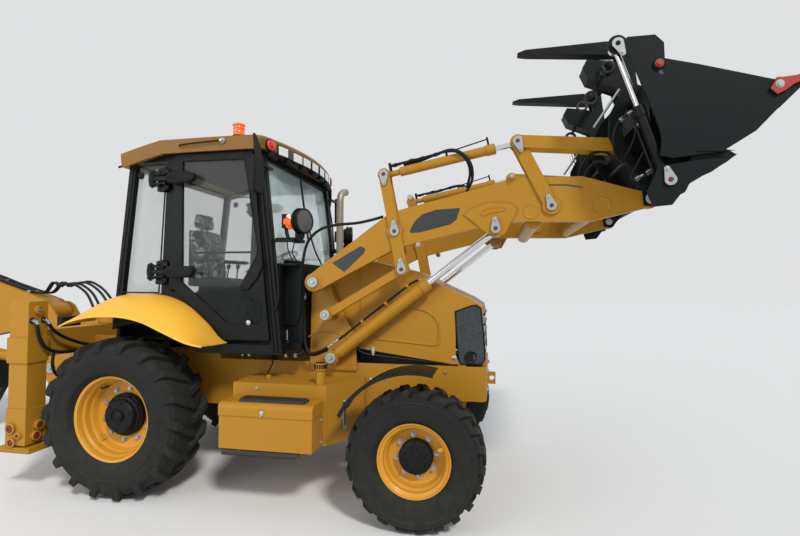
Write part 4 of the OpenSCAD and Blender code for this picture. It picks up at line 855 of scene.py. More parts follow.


# Roof shell with a bulged visor, in the darker roof paint, which is painted shade
def roof_ring(y):
    f = abs(y) / ROOF_HALF
    hem = max(0, (f - 0.92) / 0.08)
    drop = 0.021 * hem ** 1.5
    nose = 0.15 * (1 - f * f)
    if hem:
        return [(-0.187 + 0.044 * hem, 2.628 - 0.018 * hem), (-0.213 + 0.058 * hem, 2.66),
                (-0.214 + 0.052 * hem, 2.745 - 0.016 * hem), (0.0, 2.801 - 1.3 * drop),
                (0.17 + 0.023 * hem, 2.845 - 1.2 * drop), (0.6, 2.847 - drop), (1.03, 2.846 - drop),
                (1.06 + nose, 2.835 - drop), (1.082 + nose, 2.812 - drop * 0.5), (1.075 + nose, 2.722),
                (1.05 + nose, 2.713), (0.98, 2.729 - 0.014 * hem), (0.6, 2.729 - 0.016 * hem),
                (0.234, 2.727 - 0.018 * hem), (0.05, 2.684 - 0.018 * hem)]
    return [(-0.187, 2.628), (-0.213, 2.66), (-0.214, 2.745 - drop), (0.0, 2.801 - drop),
            (0.17, 2.845 - drop), (0.6, 2.847 - drop), (1.03, 2.846 - drop), (1.06 + nose, 2.835 - drop),
            (1.082 + nose, 2.812 - drop * 0.5), (1.075 + nose, 2.722), (1.05 + nose, 2.715), (0.98, 2.729),
            (0.6, 2.729), (0.234, 2.727), (0.05, 2.684)]


s = Shape()
rows = [0.2, 0.4, 0.55, 0.68, 0.76, 0.8, 0.822, ROOF_HALF]
rows = [-y for y in reversed(rows)] + [0] + rows
s.quads([[(x, y, z) for x, z in roof_ring(y)] for y in rows])
s.done("roof_shell", "roof", replaces=["cab_roof"], bevel=0.006, angle=24)
# Underside lining and drip rail
s = Shape()
s.slab([(-0.12, 2.655), (-0.06, 2.7), (0.22, 2.722), (1.0, 2.724), (1.0, 2.705), (0.22, 2.7),
        (-0.04, 2.672)], -0.7, 0.7)
s.done("roof_lining", "plastic")
s = Shape()
for side in (-1, 1):
    s.tube([(-0.19, side * 0.815, 2.622), (0.0, side * 0.815, 2.668), (0.23, side * 0.815, 2.719),
            (0.6, side * 0.815, 2.722), (1.0, side * 0.815, 2.722)], 0.009)
s.done("drip_rail", "black")


def visor_x(y):
    return 1.083 + 0.15 * (1 - (abs(y) / ROOF_HALF) ** 2)


def on_visor(s, y, z, w, h, t):
    n = 5
    rings = []
    for k in range(n):
        yy = y - w / 2 + w * k / (n - 1)
        x0, x1 = visor_x(yy), visor_x(yy) + t
        rings.append([(x0, yy, z - h / 2), (x1, yy, z - h / 2), (x1, yy, z + h / 2), (x0, yy, z + h / 2)])
    s.quads(rings)


frames = Shape()
lens = Shape()
for y, z, w in ((-0.575, 2.75, 0.115), (-0.37, 2.742, 0.135), (-0.21, 2.742, 0.135), (-0.03, 2.742, 0.14),
                (0.17, 2.742, 0.14), (0.37, 2.742, 0.14), (0.575, 2.75, 0.115)):
    on_visor(frames, y, z, w + 0.018, 0.088, 0.006)
    on_visor(lens, y, z, w, 0.072, 0.009)
dark = Shape()
for y in (-0.475, 0.475):
    on_visor(dark, y, 2.75, 0.06, 0.082, 0.008)
dark.done("visor_dark_lamps", "blank", bevel=0.003)
frames.done("visor_lamp_frames", "black", bevel=0.003)
lens.done("visor_lamps", "lamp_white", bevel=0.003)
for tag, side in SIDES:
    s = Shape()
    c = W(visor_x(0.72), side * 0.72, 2.766)
    ax = Vector((1, side * 0.35, 0))
    s.lathe(c, ax, [(0.054, -0.02), (0.054, 0.006), (0.05, 0.01), (0.046, 0.01)], 32)
    s.done("visor_ring_" + tag, "black")
    s = Shape()
    s.lathe(c, ax, [(0.046, 0), (0.046, 0.012), (0.038, 0.02), (0, 0.025)], 32)
    s.done("visor_signal_" + tag, "lamp_red", angle=60)
# Louvres under the visor and side blades
s = Shape()
for k in range(7):
    y = -0.66 + k * 0.22
    x = visor_x(y) - 0.05
    s.quads([[(x + dx, y + dy, z) for dx, dy in ((0, -0.07), (0.045, -0.06), (0.045, 0.06), (0, 0.07))]
             for z in (2.672, 2.716)])
s.done("visor_louvres", "plastic", bevel=0.008)
s = Shape()
rings = []
for k in range(13):
    y = -0.79 + 1.58 * k / 12
    x = visor_x(y)
    rings.append([(x - 0.08, y, 2.722), (x + 0.003, y, 2.722), (x + 0.002, y, 2.704), (x - 0.08, y, 2.704)])
s.quads(rings)
s.done("visor_lip", "black", bevel=0.003)
s = Shape()
s.slab([(1.03, 2.838), (1.046, 2.835), (1.072, 2.778), (1.1, 2.713), (1.102, 2.58), (1.084, 2.479),
        (1.078, 2.479), (1.06, 2.582), (1.041, 2.7)], -0.845, -0.832)
s.pair("visor_blades", "black", bevel=0.004)

# Grab rod on the roof edge, and the beacon
s = Shape()
s.tube([(0.385, -0.838, 2.767), (0.42, -0.85, 2.772), (0.6, -0.852, 2.782), (0.74, -0.848, 2.79)], 0.0065, 12)
s.pair("roof_rods", "black")
s = Shape()
s.lathe((0.765, -0.83, 2.79), -Y, [(0.024, 0), (0.024, 0.012), (0.016, 0.02), (0.012, 0.034), (0, 0.036)], 24)
s.pair("roof_rod_knobs", "steel")
s = Shape()
c = W(0.831, -0.7, 2.842)
s.lathe(c, UP, [(0.052, -0.004), (0.052, 0.02), (0.046, 0.024), (0.0, 0.024)], 40)
s.done("beacon_base", "black")
s = Shape()
s.lathe(c, UP, [(0.046, 0.022), (0.048, 0.05), (0.044, 0.058), (0.045, 0.075), (0.049, 0.08), (0.045, 0.086),
                (0.045, 0.098), (0.051, 0.104), (0.051, 0.114), (0.044, 0.12), (0, 0.122)], 40)
s.done("beacon", "lamp_orange", angle=40)

# Rear work lamps under the roof's tail
lamp_rows = (-0.6, -0.42, 0.42, 0.6)
s = Shape()
for y in lamp_rows:
    s.box(-0.225, -0.16, y - 0.06, y + 0.06, 2.7, 2.76)
s.done("tail_lamp_shells", "black", bevel=0.012, seg=3)
s = Shape()
for y in lamp_rows:
    s.box(-0.229, -0.22, y - 0.05, y + 0.05, 2.708, 2.752)
s.done("tail_lamps", "lamp_white", bevel=0.006)

# Doors: a pierced frame, a see-through pane, hinge arms, covers and bolted hinge brackets
door_rim = [(0.271, 1.614), (0.311, 2.723), (1.0, 2.723), (1.16, 1.212), (0.77, 1.212), (0.735, 1.268),
            (0.335, 1.598)]
pane_rim = [(0.394, 1.664), (0.38, 2.655), (0.93, 2.655), (1.052, 1.95), (1.05, 1.88), (0.925, 1.66),
            (0.928, 1.61), (0.997, 1.555), (1.075, 1.528), (1.09, 1.5), (1.092, 1.4), (1.085, 1.365),
            (1.048, 1.338), (0.8, 1.332), (0.783, 1.345)]
hinge_heights = (2.513, 1.75)
for tag, side in LONG_SIDES:
    body = tag + "_door"
    s = Shape()
    s.plate(door_rim, [pane_rim], side * CAB_SIDE, side * DOOR_SIDE)
    s.done("door_frame_" + tag, "black", body, ["door_" + tag], bevel=0.004, seg=3)
    Shape().plate(pane_rim, [], side * 0.767, side * 0.773).done("door_pane_" + tag, "tint", body)
    s = Shape()
    for z in (2.51, 1.75):
        s.box(HINGE_X, 0.47, *span(side, 0.803, 0.831), z - 0.018, z + 0.018)
        s.box(0.318, 0.37, *span(side, 0.784, 0.804), z - 0.018, z + 0.018)
        s.rod((HINGE_X, side * HINGE_Y, z - 0.03), (HINGE_X, side * HINGE_Y, z + 0.03), 0.03, 28)
    s.done("door_arms_" + tag, "black", body, bevel=0.003)
    s = Shape()
    for z in hinge_heights:
        rings = []
        for k in range(9):
            u = k / 8
            y = 0.798 + 0.056 * u
            swell = math.sqrt(max(0.0, 1 - (2 * u - 1) ** 4)) * 0.45 + 0.55
            ring = []
            for i in range(28):
                a = 2 * math.pi * i / 28
                cx = abs(math.cos(a)) ** 0.55 * math.copysign(1, math.cos(a))
                cz = abs(math.sin(a)) ** 0.7 * math.copysign(1, math.sin(a))
                taper = 1 - 0.12 * cx
                ring.append((0.403 + 0.124 * cx * (0.97 + 0.03 * swell), side * y,
                             z + 0.051 * taper * cz * swell))
            rings.append(ring)
        s.quads(rings)
    s.done("hinge_covers_" + tag, "plastic", body, angle=50)
    s = Shape()
    for z in hinge_heights:
        s.slab([(0.155, z - 0.1), (0.16, z + 0.085), (0.215, z + 0.1), (0.262, z + 0.075),
                (0.262, z - 0.075), (0.215, z - 0.105)], *span(side, CAB_SIDE, 0.79))
        s.slab([(0.165, z - 0.05), (0.165, z + 0.05), (0.245, z + 0.045), (0.245, z - 0.045)],
               *span(side, 0.79, 0.8))
        s.rod((HINGE_X, side * HINGE_Y, z - 0.062), (HINGE_X, side * HINGE_Y, z - 0.031), 0.026, 24)
        s.rod((HINGE_X, side * HINGE_Y, z + 0.031), (HINGE_X, side * HINGE_Y, z + 0.062), 0.026, 24)
        for e in (-0.052, 0.045):
            s.box(0.118, 0.2, *span(side, 0.76, 0.825), z + e - 0.006, z + e + 0.012)
    s.done("hinge_brackets_" + tag, "black", bevel=0.003)
    s = Shape()
    ax = Vector((0, side, 0))
    for z in hinge_heights:
        for dx, dz in ((0.178, 0.07), (0.178, -0.07), (0.212, 0.085), (0.214, -0.088), (0.242, 0.055),
                       (0.242, -0.058), (0.178, 0.02), (0.178, -0.022)):
            s.bolt((dx, side * (0.8 if abs(dz) < 0.05 else 0.79), z + dz), ax, 0.008, 0.008)
        s.bolt((HINGE_X, side * HINGE_Y, z + 0.062), UP, 0.012, 0.012)
        s.bolt((HINGE_X, side * HINGE_Y, z - 0.062), -UP, 0.012, 0.012)
    s.done("hinge_bolts_" + tag, "iron")
for tag, side in LONG_SIDES:
    body = tag + "_door"
    ax = Vector((0, side, 0))
    s = Shape()
    s.lathe((0.985, side * DOOR_SIDE, 1.35), ax, [(0.02, 0), (0.02, 0.006), (0.014, 0.01), (0, 0.01)], 24)
    s.done("door_bolts_" + tag, "steel", body)
    s = Shape()
    s.slab([(0.925, 1.625), (0.945, 1.605), (0.985, 1.61), (1.06, 1.7), (1.105, 1.8), (1.1, 1.828),
            (1.065, 1.835), (1.02, 1.8), (0.945, 1.7)], *span(side, 0.786, 0.802))
    s.done("door_pull_" + tag, "black", body, bevel=0.006, seg=3)
    # Seal around the pane
    s = Shape()
    bead(s, pane_rim, side * 0.786, 0.005)
    s.done("pane_seal_" + tag, "hose", body, angle=80)
s = Shape()
s.tube([(0.41, -0.62, 1.915), (0.7, -0.62, 1.916), (1.06, -0.62, 1.916)], 0.009)
s.pair("cab_rails", "black")
s = Shape()
s.lathe((-0.02, -CAB_SIDE, 2.556), -Y, [(0.03, 0), (0.03, 0.008), (0.02, 0.016), (0, 0.018)], 28)
s.pair("quarter_knobs", "plastic")
# Seals of the quarter glass
s = Shape()
for y in (-CAB_SIDE, CAB_SIDE):
    bead(s, [(-0.215, 1.58), (-0.095, 2.64), (0.215, 2.64), (0.165, 1.58)], y, 0.006)
s.done("quarter_seals", "hose", angle=80)
# Strips and cables on the post beside the windscreen
s = Shape()
for dx in (0.012, 0.045, 0.078):
    s.quads([[(x + dx + a, -CAB_SIDE - b, z) for a, b in ((0, 0), (0.012, 0), (0.012, 0.008), (0, 0.008))]
             for x, z in ((1.167, 1.12), (0.987, 2.7))])
s.pair("post_strips", "black")
s = Shape()
s.tube([(1.085, -0.76, 2.62), (1.1, -0.775, 2.5), (1.13, -0.785, 2.3), (1.15, -0.78, 2.1),
        (1.165, -0.77, 2.0)], 0.008)
s.tube([(1.2, -0.768, 1.83), (1.22, -0.775, 1.7), (1.228, -0.775, 1.55), (1.2, -0.768, 1.45)], 0.009)
s.pair("post_cables", "hose", angle=60)
# Front cowls between the cab post and the towers
s = Shape()
s.slab([(1.19, 1.32), (1.19, 1.835), (1.21, 1.85), (1.352, 1.84), (1.345, 1.4), (1.3, 1.32)], -0.606, -0.592)
s.pair("nose_panels", "coal", bevel=0.006)
s = Shape()
s.lathe((1.295, -0.606, 1.775), -Y, [(0.02, 0), (0.02, 0.004), (0.014, 0.008), (0, 0.008)], 24)
for x, z in ((1.21, 1.345), (1.28, 1.345)):
    s.bolt((x, -0.606, z), -Y, 0.006, 0.005)
s.pair("nose_bolts", "plastic")
# Pipe under the sill
s = Shape()
s.tube([(0.62, -0.6, 1.095), (0.8, -0.61, 1.092), (1.1, -0.615, 1.095), (1.33, -0.6, 1.09),
        (1.355, -0.58, 1.12)], 0.017, 14)
s.tube([(0.74, -0.625, 1.105), (0.86, -0.628, 1.1), (0.95, -0.625, 1.105)], 0.022, 12)
s.tube([(1.1, -0.6, 1.09), (1.12, -0.62, 1.05), (1.115, -0.64, 1.0), (1.09, -0.66, 0.94)], 0.006, 8)
s.pair("sill_pipes", "hose", angle=60)
s = Shape()
for x in (0.84, 0.9, 1.22, 1.3):
    s.rod((x, -0.615, 1.08), (x + 0.02, -0.615, 1.08), 0.02, 6)
s.pair("sill_fittings", "steel")

# Work lamps in front of the posts, with an amber marker behind each
for tag, side in SIDES:
    ax = Vector((1, side * 0.35, 0)).normalized()
    c = W(1.372, side * 0.645, 2.16)
    s = Shape()
    s.lathe(c, ax, [(0.05, -0.085), (0.086, -0.05), (0.096, -0.01), (0.103, 0.0), (0.103, 0.022),
                    (0.097, 0.028), (0.091, 0.02)], 44)
    s.lathe(c, ax, [(0.105, -0.034), (0.108, -0.03), (0.108, -0.018), (0.105, -0.014)], 44)
    s.tube([c + Vector((0, 0, -0.09)), c + Vector((-0.005, 0, -0.12)), c + Vector((-0.02, 0, -0.15))], 0.02)
    s.box(1.3, 1.375, side * 0.645 - 0.04, side * 0.645 + 0.04, 1.985, 2.01)
    s.done("work_lamp_shell_" + tag, "black", angle=30)
    s = Shape()
    s.lathe(c, ax, [(0.092, 0.019), (0.086, 0.026), (0.06, 0.033), (0, 0.036)], 40)
    s.done("work_lamp_lens_" + tag, "clear", angle=60)
    s = Shape()
    s.lathe(c, ax, [(0.094, 0.013), (0.07, 0.006), (0.04, -0.012), (0.02, -0.02), (0, -0.02)], 40)
    s.done("work_lamp_dish_" + tag, "lamp_white", angle=60)
    s = Shape()
    for d in circle(Vector(), *square_to(ax), 1, 5, 0.3):
        s.rod(c + ax * 0.014 + d * 0.018, c + ax * 0.014 + d * 0.09, 0.005, 8)
    s.lathe(c + ax * 0.005, ax, [(0.022, 0), (0.022, 0.014), (0.012, 0.018), (0, 0.018)], 24)
    s.done("work_lamp_spokes_" + tag, "black")
    m = W(1.268, side * 0.66, 2.153)
    s = Shape()
    s.lathe(m, Vector((1, side * 1.4, 0)), [(0.055, -0.03), (0.059, 0.0), (0.057, 0.02), (0.04, 0.026),
                                            (0.036, 0.04), (0.02, 0.046), (0, 0.047)], 36)
    s.done("marker_" + tag, "lamp_orange", angle=50)
    s = Shape()
    s.box(1.215, 1.25, side * 0.655 - 0.05, side * 0.655 + 0.05, 2.1, 2.215)
    s.box(1.15, 1.36, side * 0.655 - 0.022, side * 0.655 + 0.022, 1.992, 2.028)
    s.tube([(1.235, side * 0.655, 2.11), (1.24, side * 0.66, 2.07), (1.26, side * 0.665, 2.015)], 0.016)
    s.done("marker_base_" + tag, "black", bevel=0.006)
# Lamp cables
s = Shape()
s.tube([(1.32, -0.64, 2.03), (1.3, -0.66, 1.96), (1.29, -0.65, 1.9), (1.31, -0.62, 1.84)], 0.005, 8)
s.tube([(1.25, -0.665, 2.015), (1.26, -0.68, 1.94), (1.28, -0.66, 1.87), (1.28, -0.62, 1.83)], 0.005, 8)
s.pair("lamp_cables", "hose")

# Exhaust stack with a curved outlet
s = Shape()
s.lathe((1.418, 0.17, 1.5), UP, [(0.05, 0), (0.05, 0.06), (0.043, 0.07), (0.043, 0.3), (0.034, 0.32)], 32)
s.tube([(1.418, 0.17, 1.6), (1.418, 0.17, 1.9), (1.418, 0.17, 2.2), (1.418, 0.17, 2.42), (1.418, 0.175, 2.48),
        (1.422, 0.195, 2.525), (1.432, 0.225, 2.55), (1.446, 0.265, 2.56)], 0.034, 24)
s.done("exhaust_stack", "pipe", replaces=["fittings"], angle=50)
s = Shape()
s.lathe((1.4455, 0.2645, 2.56), Vector((0.3, 0.9, 0.15)), [(0.033, 0.0), (0.033, 0.003), (0, 0.003)], 24)
s.done("exhaust_mouth", "blank")
# Mirrors on bent stays
for tag, side in SIDES:
    s = Shape()
    s.tube([(1.135, side * 0.77, 2.57), (1.135, side * 0.86, 2.575), (1.135, side * 0.93, 2.57),
            (1.135, side * 0.95, 2.5), (1.135, side * 0.95, 2.4), (1.135, side * 0.95, 2.35)], 0.01, 12)
    s.done("mirror_stay_" + tag, "black")
    s = Shape()
    s.box(1.118, 1.15, *span(side, 0.885, 1.035), 2.335, 2.615)
    s.done("mirror_shell_" + tag, "plastic", bevel=0.014, seg=4)
    s = Shape()
    s.box(1.1165, 1.1195, *span(side, 0.897, 1.023), 2.35, 2.6)
    s.done("mirror_glass_" + tag, "chrome", bevel=0.001)
# Wiper
s = Shape()
s.tube([(1.335, -0.1, 1.83), (1.28, -0.15, 1.98), (1.235, -0.2, 2.2), (1.2, -0.24, 2.42)], 0.008, 8)
s.quads([[(x + d, y + e, z) for d, e in ((0, 0), (0.012, 0), (0.012, 0.02), (0, 0.02))]
         for x, y, z in ((1.255, -0.26, 2.05), (1.16, -0.22, 2.6))])
s.done("wiper", "plastic")

# Panes: pale windscreen, clear quarter and rear glass, dark headliner
s = Shape()
s.slab([(1.152, 1.82), (1.158, 1.82), (1.053, 2.655), (1.047, 2.655)], -0.705, 0.705)
s.done("windscreen", "screen", replaces=["cab_glass"])
s = Shape()
for y0, y1 in ((-0.705, -0.699), (0.699, 0.705)):
    s.slab([(-0.2, 1.53), (-0.08, 2.678), (0.245, 2.678), (0.21, 1.53)], y0, y1)
s.done("quarter_panes", "glass")
s = Shape()
s.slab([(-0.239, 1.56), (-0.233, 1.56), (-0.129, 2.64), (-0.135, 2.64)], -0.695, 0.695)
s.done("rear_pane", "glass")
Shape().box(-0.08, 1.0, -0.69, 0.69, 2.708, 2.72).done("headliner", "plastic")


# Seat, steering wheel and consoles. A cushion is remeshed, then puffed up by a short cloth run
def bake(obj):
    dg = bpy.context.evaluated_depsgraph_get()
    mesh = bpy.data.meshes.new_from_object(obj.evaluated_get(dg))
    obj.modifiers.clear()
    for poly in mesh.polygons:
        poly.use_smooth = True
    return mesh


def cushion(name, outline, half, crown):
    s = Shape()
    n = len(outline)
    cx = sum(p[0] for p in outline) / n
    cz = sum(p[1] for p in outline) / n
    rings = []
    for k in range(13):
        u = -1 + 2 * k / 12
        y = half * u
        pull = 1 - 0.14 * abs(u) ** 5
        rings.append([(cx + (x - cx) * pull, y, cz + (z - cz) * pull) for x, z in outline])
    s.quads(rings)
    obj = s.done(name, "wrapped")
    bpy.context.view_layer.objects.active = obj
    rm = obj.modifiers.new("remesh", "REMESH")
    rm.mode = "VOXEL"
    rm.voxel_size = 0.008
    bpy.context.view_layer.update()
    obj.data = bake(obj)
    inflate(obj, crown)


def inflate(obj, cap):
    rest = [v.co.copy() for v in obj.data.vertices]
    scene = bpy.context.scene
    cloth = obj.modifiers.new("cloth", "CLOTH")
    cloth.settings.use_pressure = True
    cloth.settings.uniform_pressure_force = 4
    cloth.settings.effector_weights.gravity = 0
    for f in range(1, 13):
        scene.frame_set(f)
    mesh = bake(obj)
    scene.frame_set(1)
    for v, r in zip(mesh.vertices, rest):
        d = v.co - r
        if d.length > cap:
            v.co = r + d * (cap / d.length)
    obj.data = mesh


cushion("seat_cushion", [(0.14, 1.585), (0.16, 1.672), (0.25, 1.684), (0.55, 1.68), (0.615, 1.662),
                         (0.62, 1.612), (0.58, 1.582)], 0.235, 0.01)
cushion("seat_back", [(0.115, 1.685), (0.2, 1.675), (0.215, 1.73), (0.165, 2.02), (0.13, 2.175),
                      (0.065, 2.175), (0.06, 2.08)], 0.225, 0.01)
cushion("headrest", [(0.052, 2.185), (0.112, 2.185), (0.122, 2.235), (0.108, 2.325), (0.06, 2.33),
                     (0.036, 2.25)], 0.12, 0.008)
s = Shape()
s.box(0.16, 0.6, -0.235, 0.235, 1.562, 1.585)
s.box(0.25, 0.52, -0.145, 0.145, 1.182, 1.31)
for k in range(6):
    s.box(0.26 + 0.002 * k, 0.51 - 0.002 * k, -0.14, 0.14, 1.315 + k * 0.04, 1.345 + k * 0.04)
s.slab([(0.045, 1.64), (0.085, 1.63), (0.125, 1.7), (0.065, 2.16), (0.045, 2.16)], -0.19, 0.19)
for y in (-0.05, 0.05):
    s.rod((0.085, y, 2.15), (0.085, y, 2.21), 0.007, 10)
for y in (-0.27, 0.27):
    s.slab([(0.12, 1.86), (0.14, 1.9), (0.38, 1.885), (0.41, 1.865), (0.38, 1.85),
            (0.15, 1.86)], y - 0.025, y + 0.025)
s.done("seat_frame", "plastic", replaces=["cab_interior"], bevel=0.006)
s = Shape()
for y0, y1 in ((-0.43, -0.3), (0.3, 0.43)):
    s.slab([(0.3, 1.182), (0.31, 1.66), (0.35, 1.72), (0.66, 1.7), (0.715, 1.65), (0.7, 1.182)], y0, y1)
    for k in range(3):
        x = 0.46 + k * 0.09
        yc = (y0 + y1) / 2
        s.rod((x, yc, 1.7), (x + 0.01, yc, 1.79), 0.006, 10)
        s.lathe((x + 0.01, yc, 1.785), (0.1, 0, 1), [(0.012, 0), (0.018, 0.012), (0.018, 0.03),
                                                     (0.01, 0.042), (0, 0.044)], 16)
s.done("consoles", "plastic", bevel=0.012, seg=3)
s = Shape()
s.slab([(1.055, 1.182), (1.13, 1.182), (1.05, 1.55), (0.94, 1.845), (0.905, 1.83),
        (0.99, 1.5)], -0.055, 0.055)
s.slab([(0.9, 1.8), (1.02, 1.9), (1.06, 1.88), (1.04, 1.78), (0.95, 1.74)], -0.13, 0.13)
s.done("steering_column", "plastic", bevel=0.012, seg=3)
s = Shape()
tilt = Vector((math.sin(math.radians(-30)), 0, math.cos(math.radians(-30))))
c = W(0.89, 0, 1.85) + tilt * 0.02
u, v = square_to(tilt)
rim = circle(c, u, v, 0.178, 48)
for k in range(48):
    a, b = rim[k], rim[(k + 1) % 48]
    s.rod(a, b + (b - a) * 0.05, 0.0125, 12)
for d in circle(Vector(), u, v, 1, 3, 0.5):
    s.rod(c + d * 0.03, c + d * 0.17, 0.012, 10)
s.lathe(c - tilt * 0.015, tilt, [(0.045, 0), (0.05, 0.012), (0.045, 0.026), (0, 0.03)], 32)
s.lathe(rim[10], tilt, [(0.014, 0.0), (0.02, 0.015), (0.02, 0.035), (0.012, 0.048), (0, 0.05)], 20)
s.done("steering_wheel", "plastic", angle=60)
s = Shape()
for y in (-0.15, 0.0, 0.12):
    s.slab([(1.13, 1.2), (1.17, 1.27), (1.16, 1.275), (1.12, 1.205)], y - 0.04, y + 0.04)
s.done("pedals", "plastic", bevel=0.003)

# Bonnet: embossed panel, shut line, latch, bolts and the mesh that wraps the nose
panel = [(1.9, 1.262), (1.93, 1.295), (2.05, 1.365), (2.18, 1.44), (2.235, 1.46), (2.3, 1.458),
         (2.36, 1.436), (2.41, 1.4), (2.44, 1.355), (2.452, 1.31), (2.452, 1.2), (2.445, 1.182),
         (2.42, 1.172), (2.38, 1.172), (1.95, 1.208), (1.91, 1.225), (1.895, 1.243)]
s = Shape()
bead(s, panel, -BONNET_SIDE, 0.0085)
s.pair("bonnet_emboss", "ochre", "hood", angle=80)
s = Shape()
bead(s, [(x * 0.93 + 2.2 * 0.07, z * 0.93 + 1.3 * 0.07) for x, z in panel], -0.4435, 0.005)
s.pair("bonnet_emboss_inner", "ochre", "hood", angle=80)
s = Shape()
s.slab([(1.774, 1.13), (1.8, 1.112), (1.832, 1.094), (1.905, 1.084), (2.56, 1.026), (2.56, 1.022),
        (1.905, 1.078), (1.83, 1.088), (1.796, 1.106), (1.77, 1.126)], -0.447, -0.444)
s.pair("bonnet_shut_line", "blank", "hood")
s = Shape()
s.box(1.897, 1.925, -0.456, -0.444, 1.095, 1.145)
s.rod((1.911, -0.445, 1.085), (1.911, -0.459, 1.085), 0.009, 16)
s.pair("bonnet_latch", "steel", "hood", bevel=0.002)
s = Shape()
s.lathe((2.57, -BONNET_SIDE, 1.075), -Y, [(0.02, 0), (0.02, 0.003), (0.014, 0.006), (0, 0.006)], 24)
s.pair("bonnet_bolts", "steel", "hood")

mesh_side = [(2.577, 1.44), (2.7, 1.487), (2.745, 1.493), (2.775, 1.47), (2.8, 1.25), (2.808, 1.075),
             (2.785, 1.034), (2.62, 1.028), (2.605, 1.06), (2.592, 1.2)]
Shape().slab(mesh_side, -0.4475, -0.4435).pair("grille_sides", "mesh", "hood", bevel=0.001)
s = Shape()
bead(s, mesh_side, -0.447, 0.006)
s.pair("grille_rim", "black", "hood", angle=80)
s = Shape()
s.quads([[(2.795 + dx, y, 1.045), (2.801 + dx, y, 1.045), (2.79 + dx, y, 1.455), (2.784 + dx, y, 1.455)]
         for y, dx in ((-0.442, -0.004), (-0.42, 0.004), (-0.3, 0.008), (0, 0.01), (0.3, 0.008),
                       (0.42, 0.004), (0.442, -0.004))])
s.done("grille_front", "mesh", "hood", ["grille"])
s = Shape()
for k in range(5):
    z = 1.09 + k * 0.08
    s.quads([[(2.798, y, z), (2.812, y, z), (2.81, y, z + 0.012), (2.796, y, z + 0.012)]
             for y in (-0.4, -0.2, 0, 0.2, 0.4)])
s.done("grille_bars", "black", "hood", bevel=0.003)
for tag, side in SIDES:
    c = (2.74, side * 0.36, 1.11)
    ax = (1, side * 0.5, 0)
    s = Shape()
    s.lathe(c, ax, [(0.075, -0.05), (0.078, 0.03), (0.072, 0.045), (0.066, 0.04)], 32)
    s.done("head_lamp_shell_" + tag, "black", "hood", angle=40)
    s = Shape()
    s.lathe(c, ax, [(0.067, 0.035), (0.06, 0.048), (0.03, 0.056), (0, 0.058)], 32)
    s.done("head_lamp_lens_" + tag, "lamp_white", "hood", angle=60)
    s = Shape()
    s.lathe((2.7, side * 0.4475, 1.085), (0.2, side, 0), [(0.05, 0), (0.05, 0.006), (0.044, 0.01),
                                                          (0.036, 0.006), (0.034, 0.004), (0.012, 0.003),
                                                          (0, 0.003)], 32)
    s.done("side_lamp_" + tag, "black", "hood", angle=40)

# Chassis: tower rib, embossed curve and bolts
s = Shape()
s.slab([(1.548, 1.63), (1.556, 1.632), (1.603, 1.51), (1.595, 1.507)], -0.5, -0.469)
s.pair("tower_ribs", "ochre")
s = Shape()
arc = [(1.36, 1.215), (1.42, 1.25), (1.5, 1.262), (1.58, 1.256), (1.66, 1.236), (1.73, 1.2), (1.766, 1.165)]
bead(s, arc, -0.4695, 0.006, closed=False)
s.pair("tower_emboss", "ochre", angle=80)
s = Shape()
for x, z in ((1.7, 0.97), (2.02, 0.9), (2.5, 0.96), (2.5, 0.8)):
    s.bolt((x, -0.4495 if x < 2.42 else -BONNET_SIDE, z), -Y, 0.014, 0.014)
s.pair("chassis_bolts", "steel")
s = Shape()
for y in (-0.25, 0.25):
    for z in (0.8, 0.95):
        s.bolt((2.82, y, z), X, 0.016, 0.016)
s.done("nose_weight_bolts", "steel")


# Toolbox and tanks: rows of teeth to step on, w wide and standing a, b and c off z
def teeth(s, first, pitch, count, rows, half, w, z, a, b, c):
    for i in range(count):
        x = first + i * pitch
        for y in rows:
            s.slab([(x, z), (x + w, z), (x + w - 0.002, z + a), (x + 0.011, z + b), (x + 0.008, z + c),
                    (x + 0.005, z + b), (x + 0.002, z + a)], y - half, y + half)


def tread(name, body, side, z0):
    s = Shape()
    rows = [side * y for y in (1.03, 0.995, 0.96)]
    teeth(s, 1.062, 0.0188, 26, rows, 0.012, 0.016, 0.812, 0.01, 0.016, 0.007)
    s.box(1.056, 1.555, *span(side, 0.935, 1.045), z0, 0.814)
    s.done(name, "iron", body)


tread("lid_tread", "lid", -1, 0.8)
s = Shape()
teeth(s, 0.945, 0.0205, 28, (-1.065, -1.02, -0.975), 0.014, 0.017, 0.437, -0.009, -0.016, -0.007)
s.box(0.942, 1.54, -1.082, -0.955, 0.437, 0.462)
for x in (1.0, 1.46):
    s.rod((x, -1.02, 0.46), (x, -1.02, 0.472), 0.012, 12)
s.pair("under_step", "iron")
tread("left_tread", "machine", 1, 0.799)
for body, side in (("lid", -1), ("machine", 1)):
    ax = Vector((0, side, 0))
    s = Shape()
    y = side * 1.086
    s.lathe((1.257, y, 0.735), ax, [(0.018, 0), (0.018, 0.006), (0.012, 0.01), (0, 0.01)], 24)
    s.quads([[(x, y + side * t, z) for t, z in ((0, 0.73), (0.012, 0.73), (0.012, low), (0, low))]
             for x, low in ((1.248, 0.71), (1.258, 0.705))])
    s.done("box_latch_" + body, "steel", body)
s = Shape()
for z in (0.66, 0.5):
    s.bolt((1.632, -0.9, z), X, 0.011, 0.01)
s.bolt((1.1, -0.8605, 0.86), -Y, 0.008, 0.006)
s.tube([(0.905, -0.98, 0.7), (0.895, -0.98, 0.7), (0.887, -0.98, 0.69), (0.887, -0.98, 0.65),
        (0.895, -0.98, 0.64), (0.92, -0.98, 0.64)], 0.006, 8)
s.pair("tank_bolts", "steel")
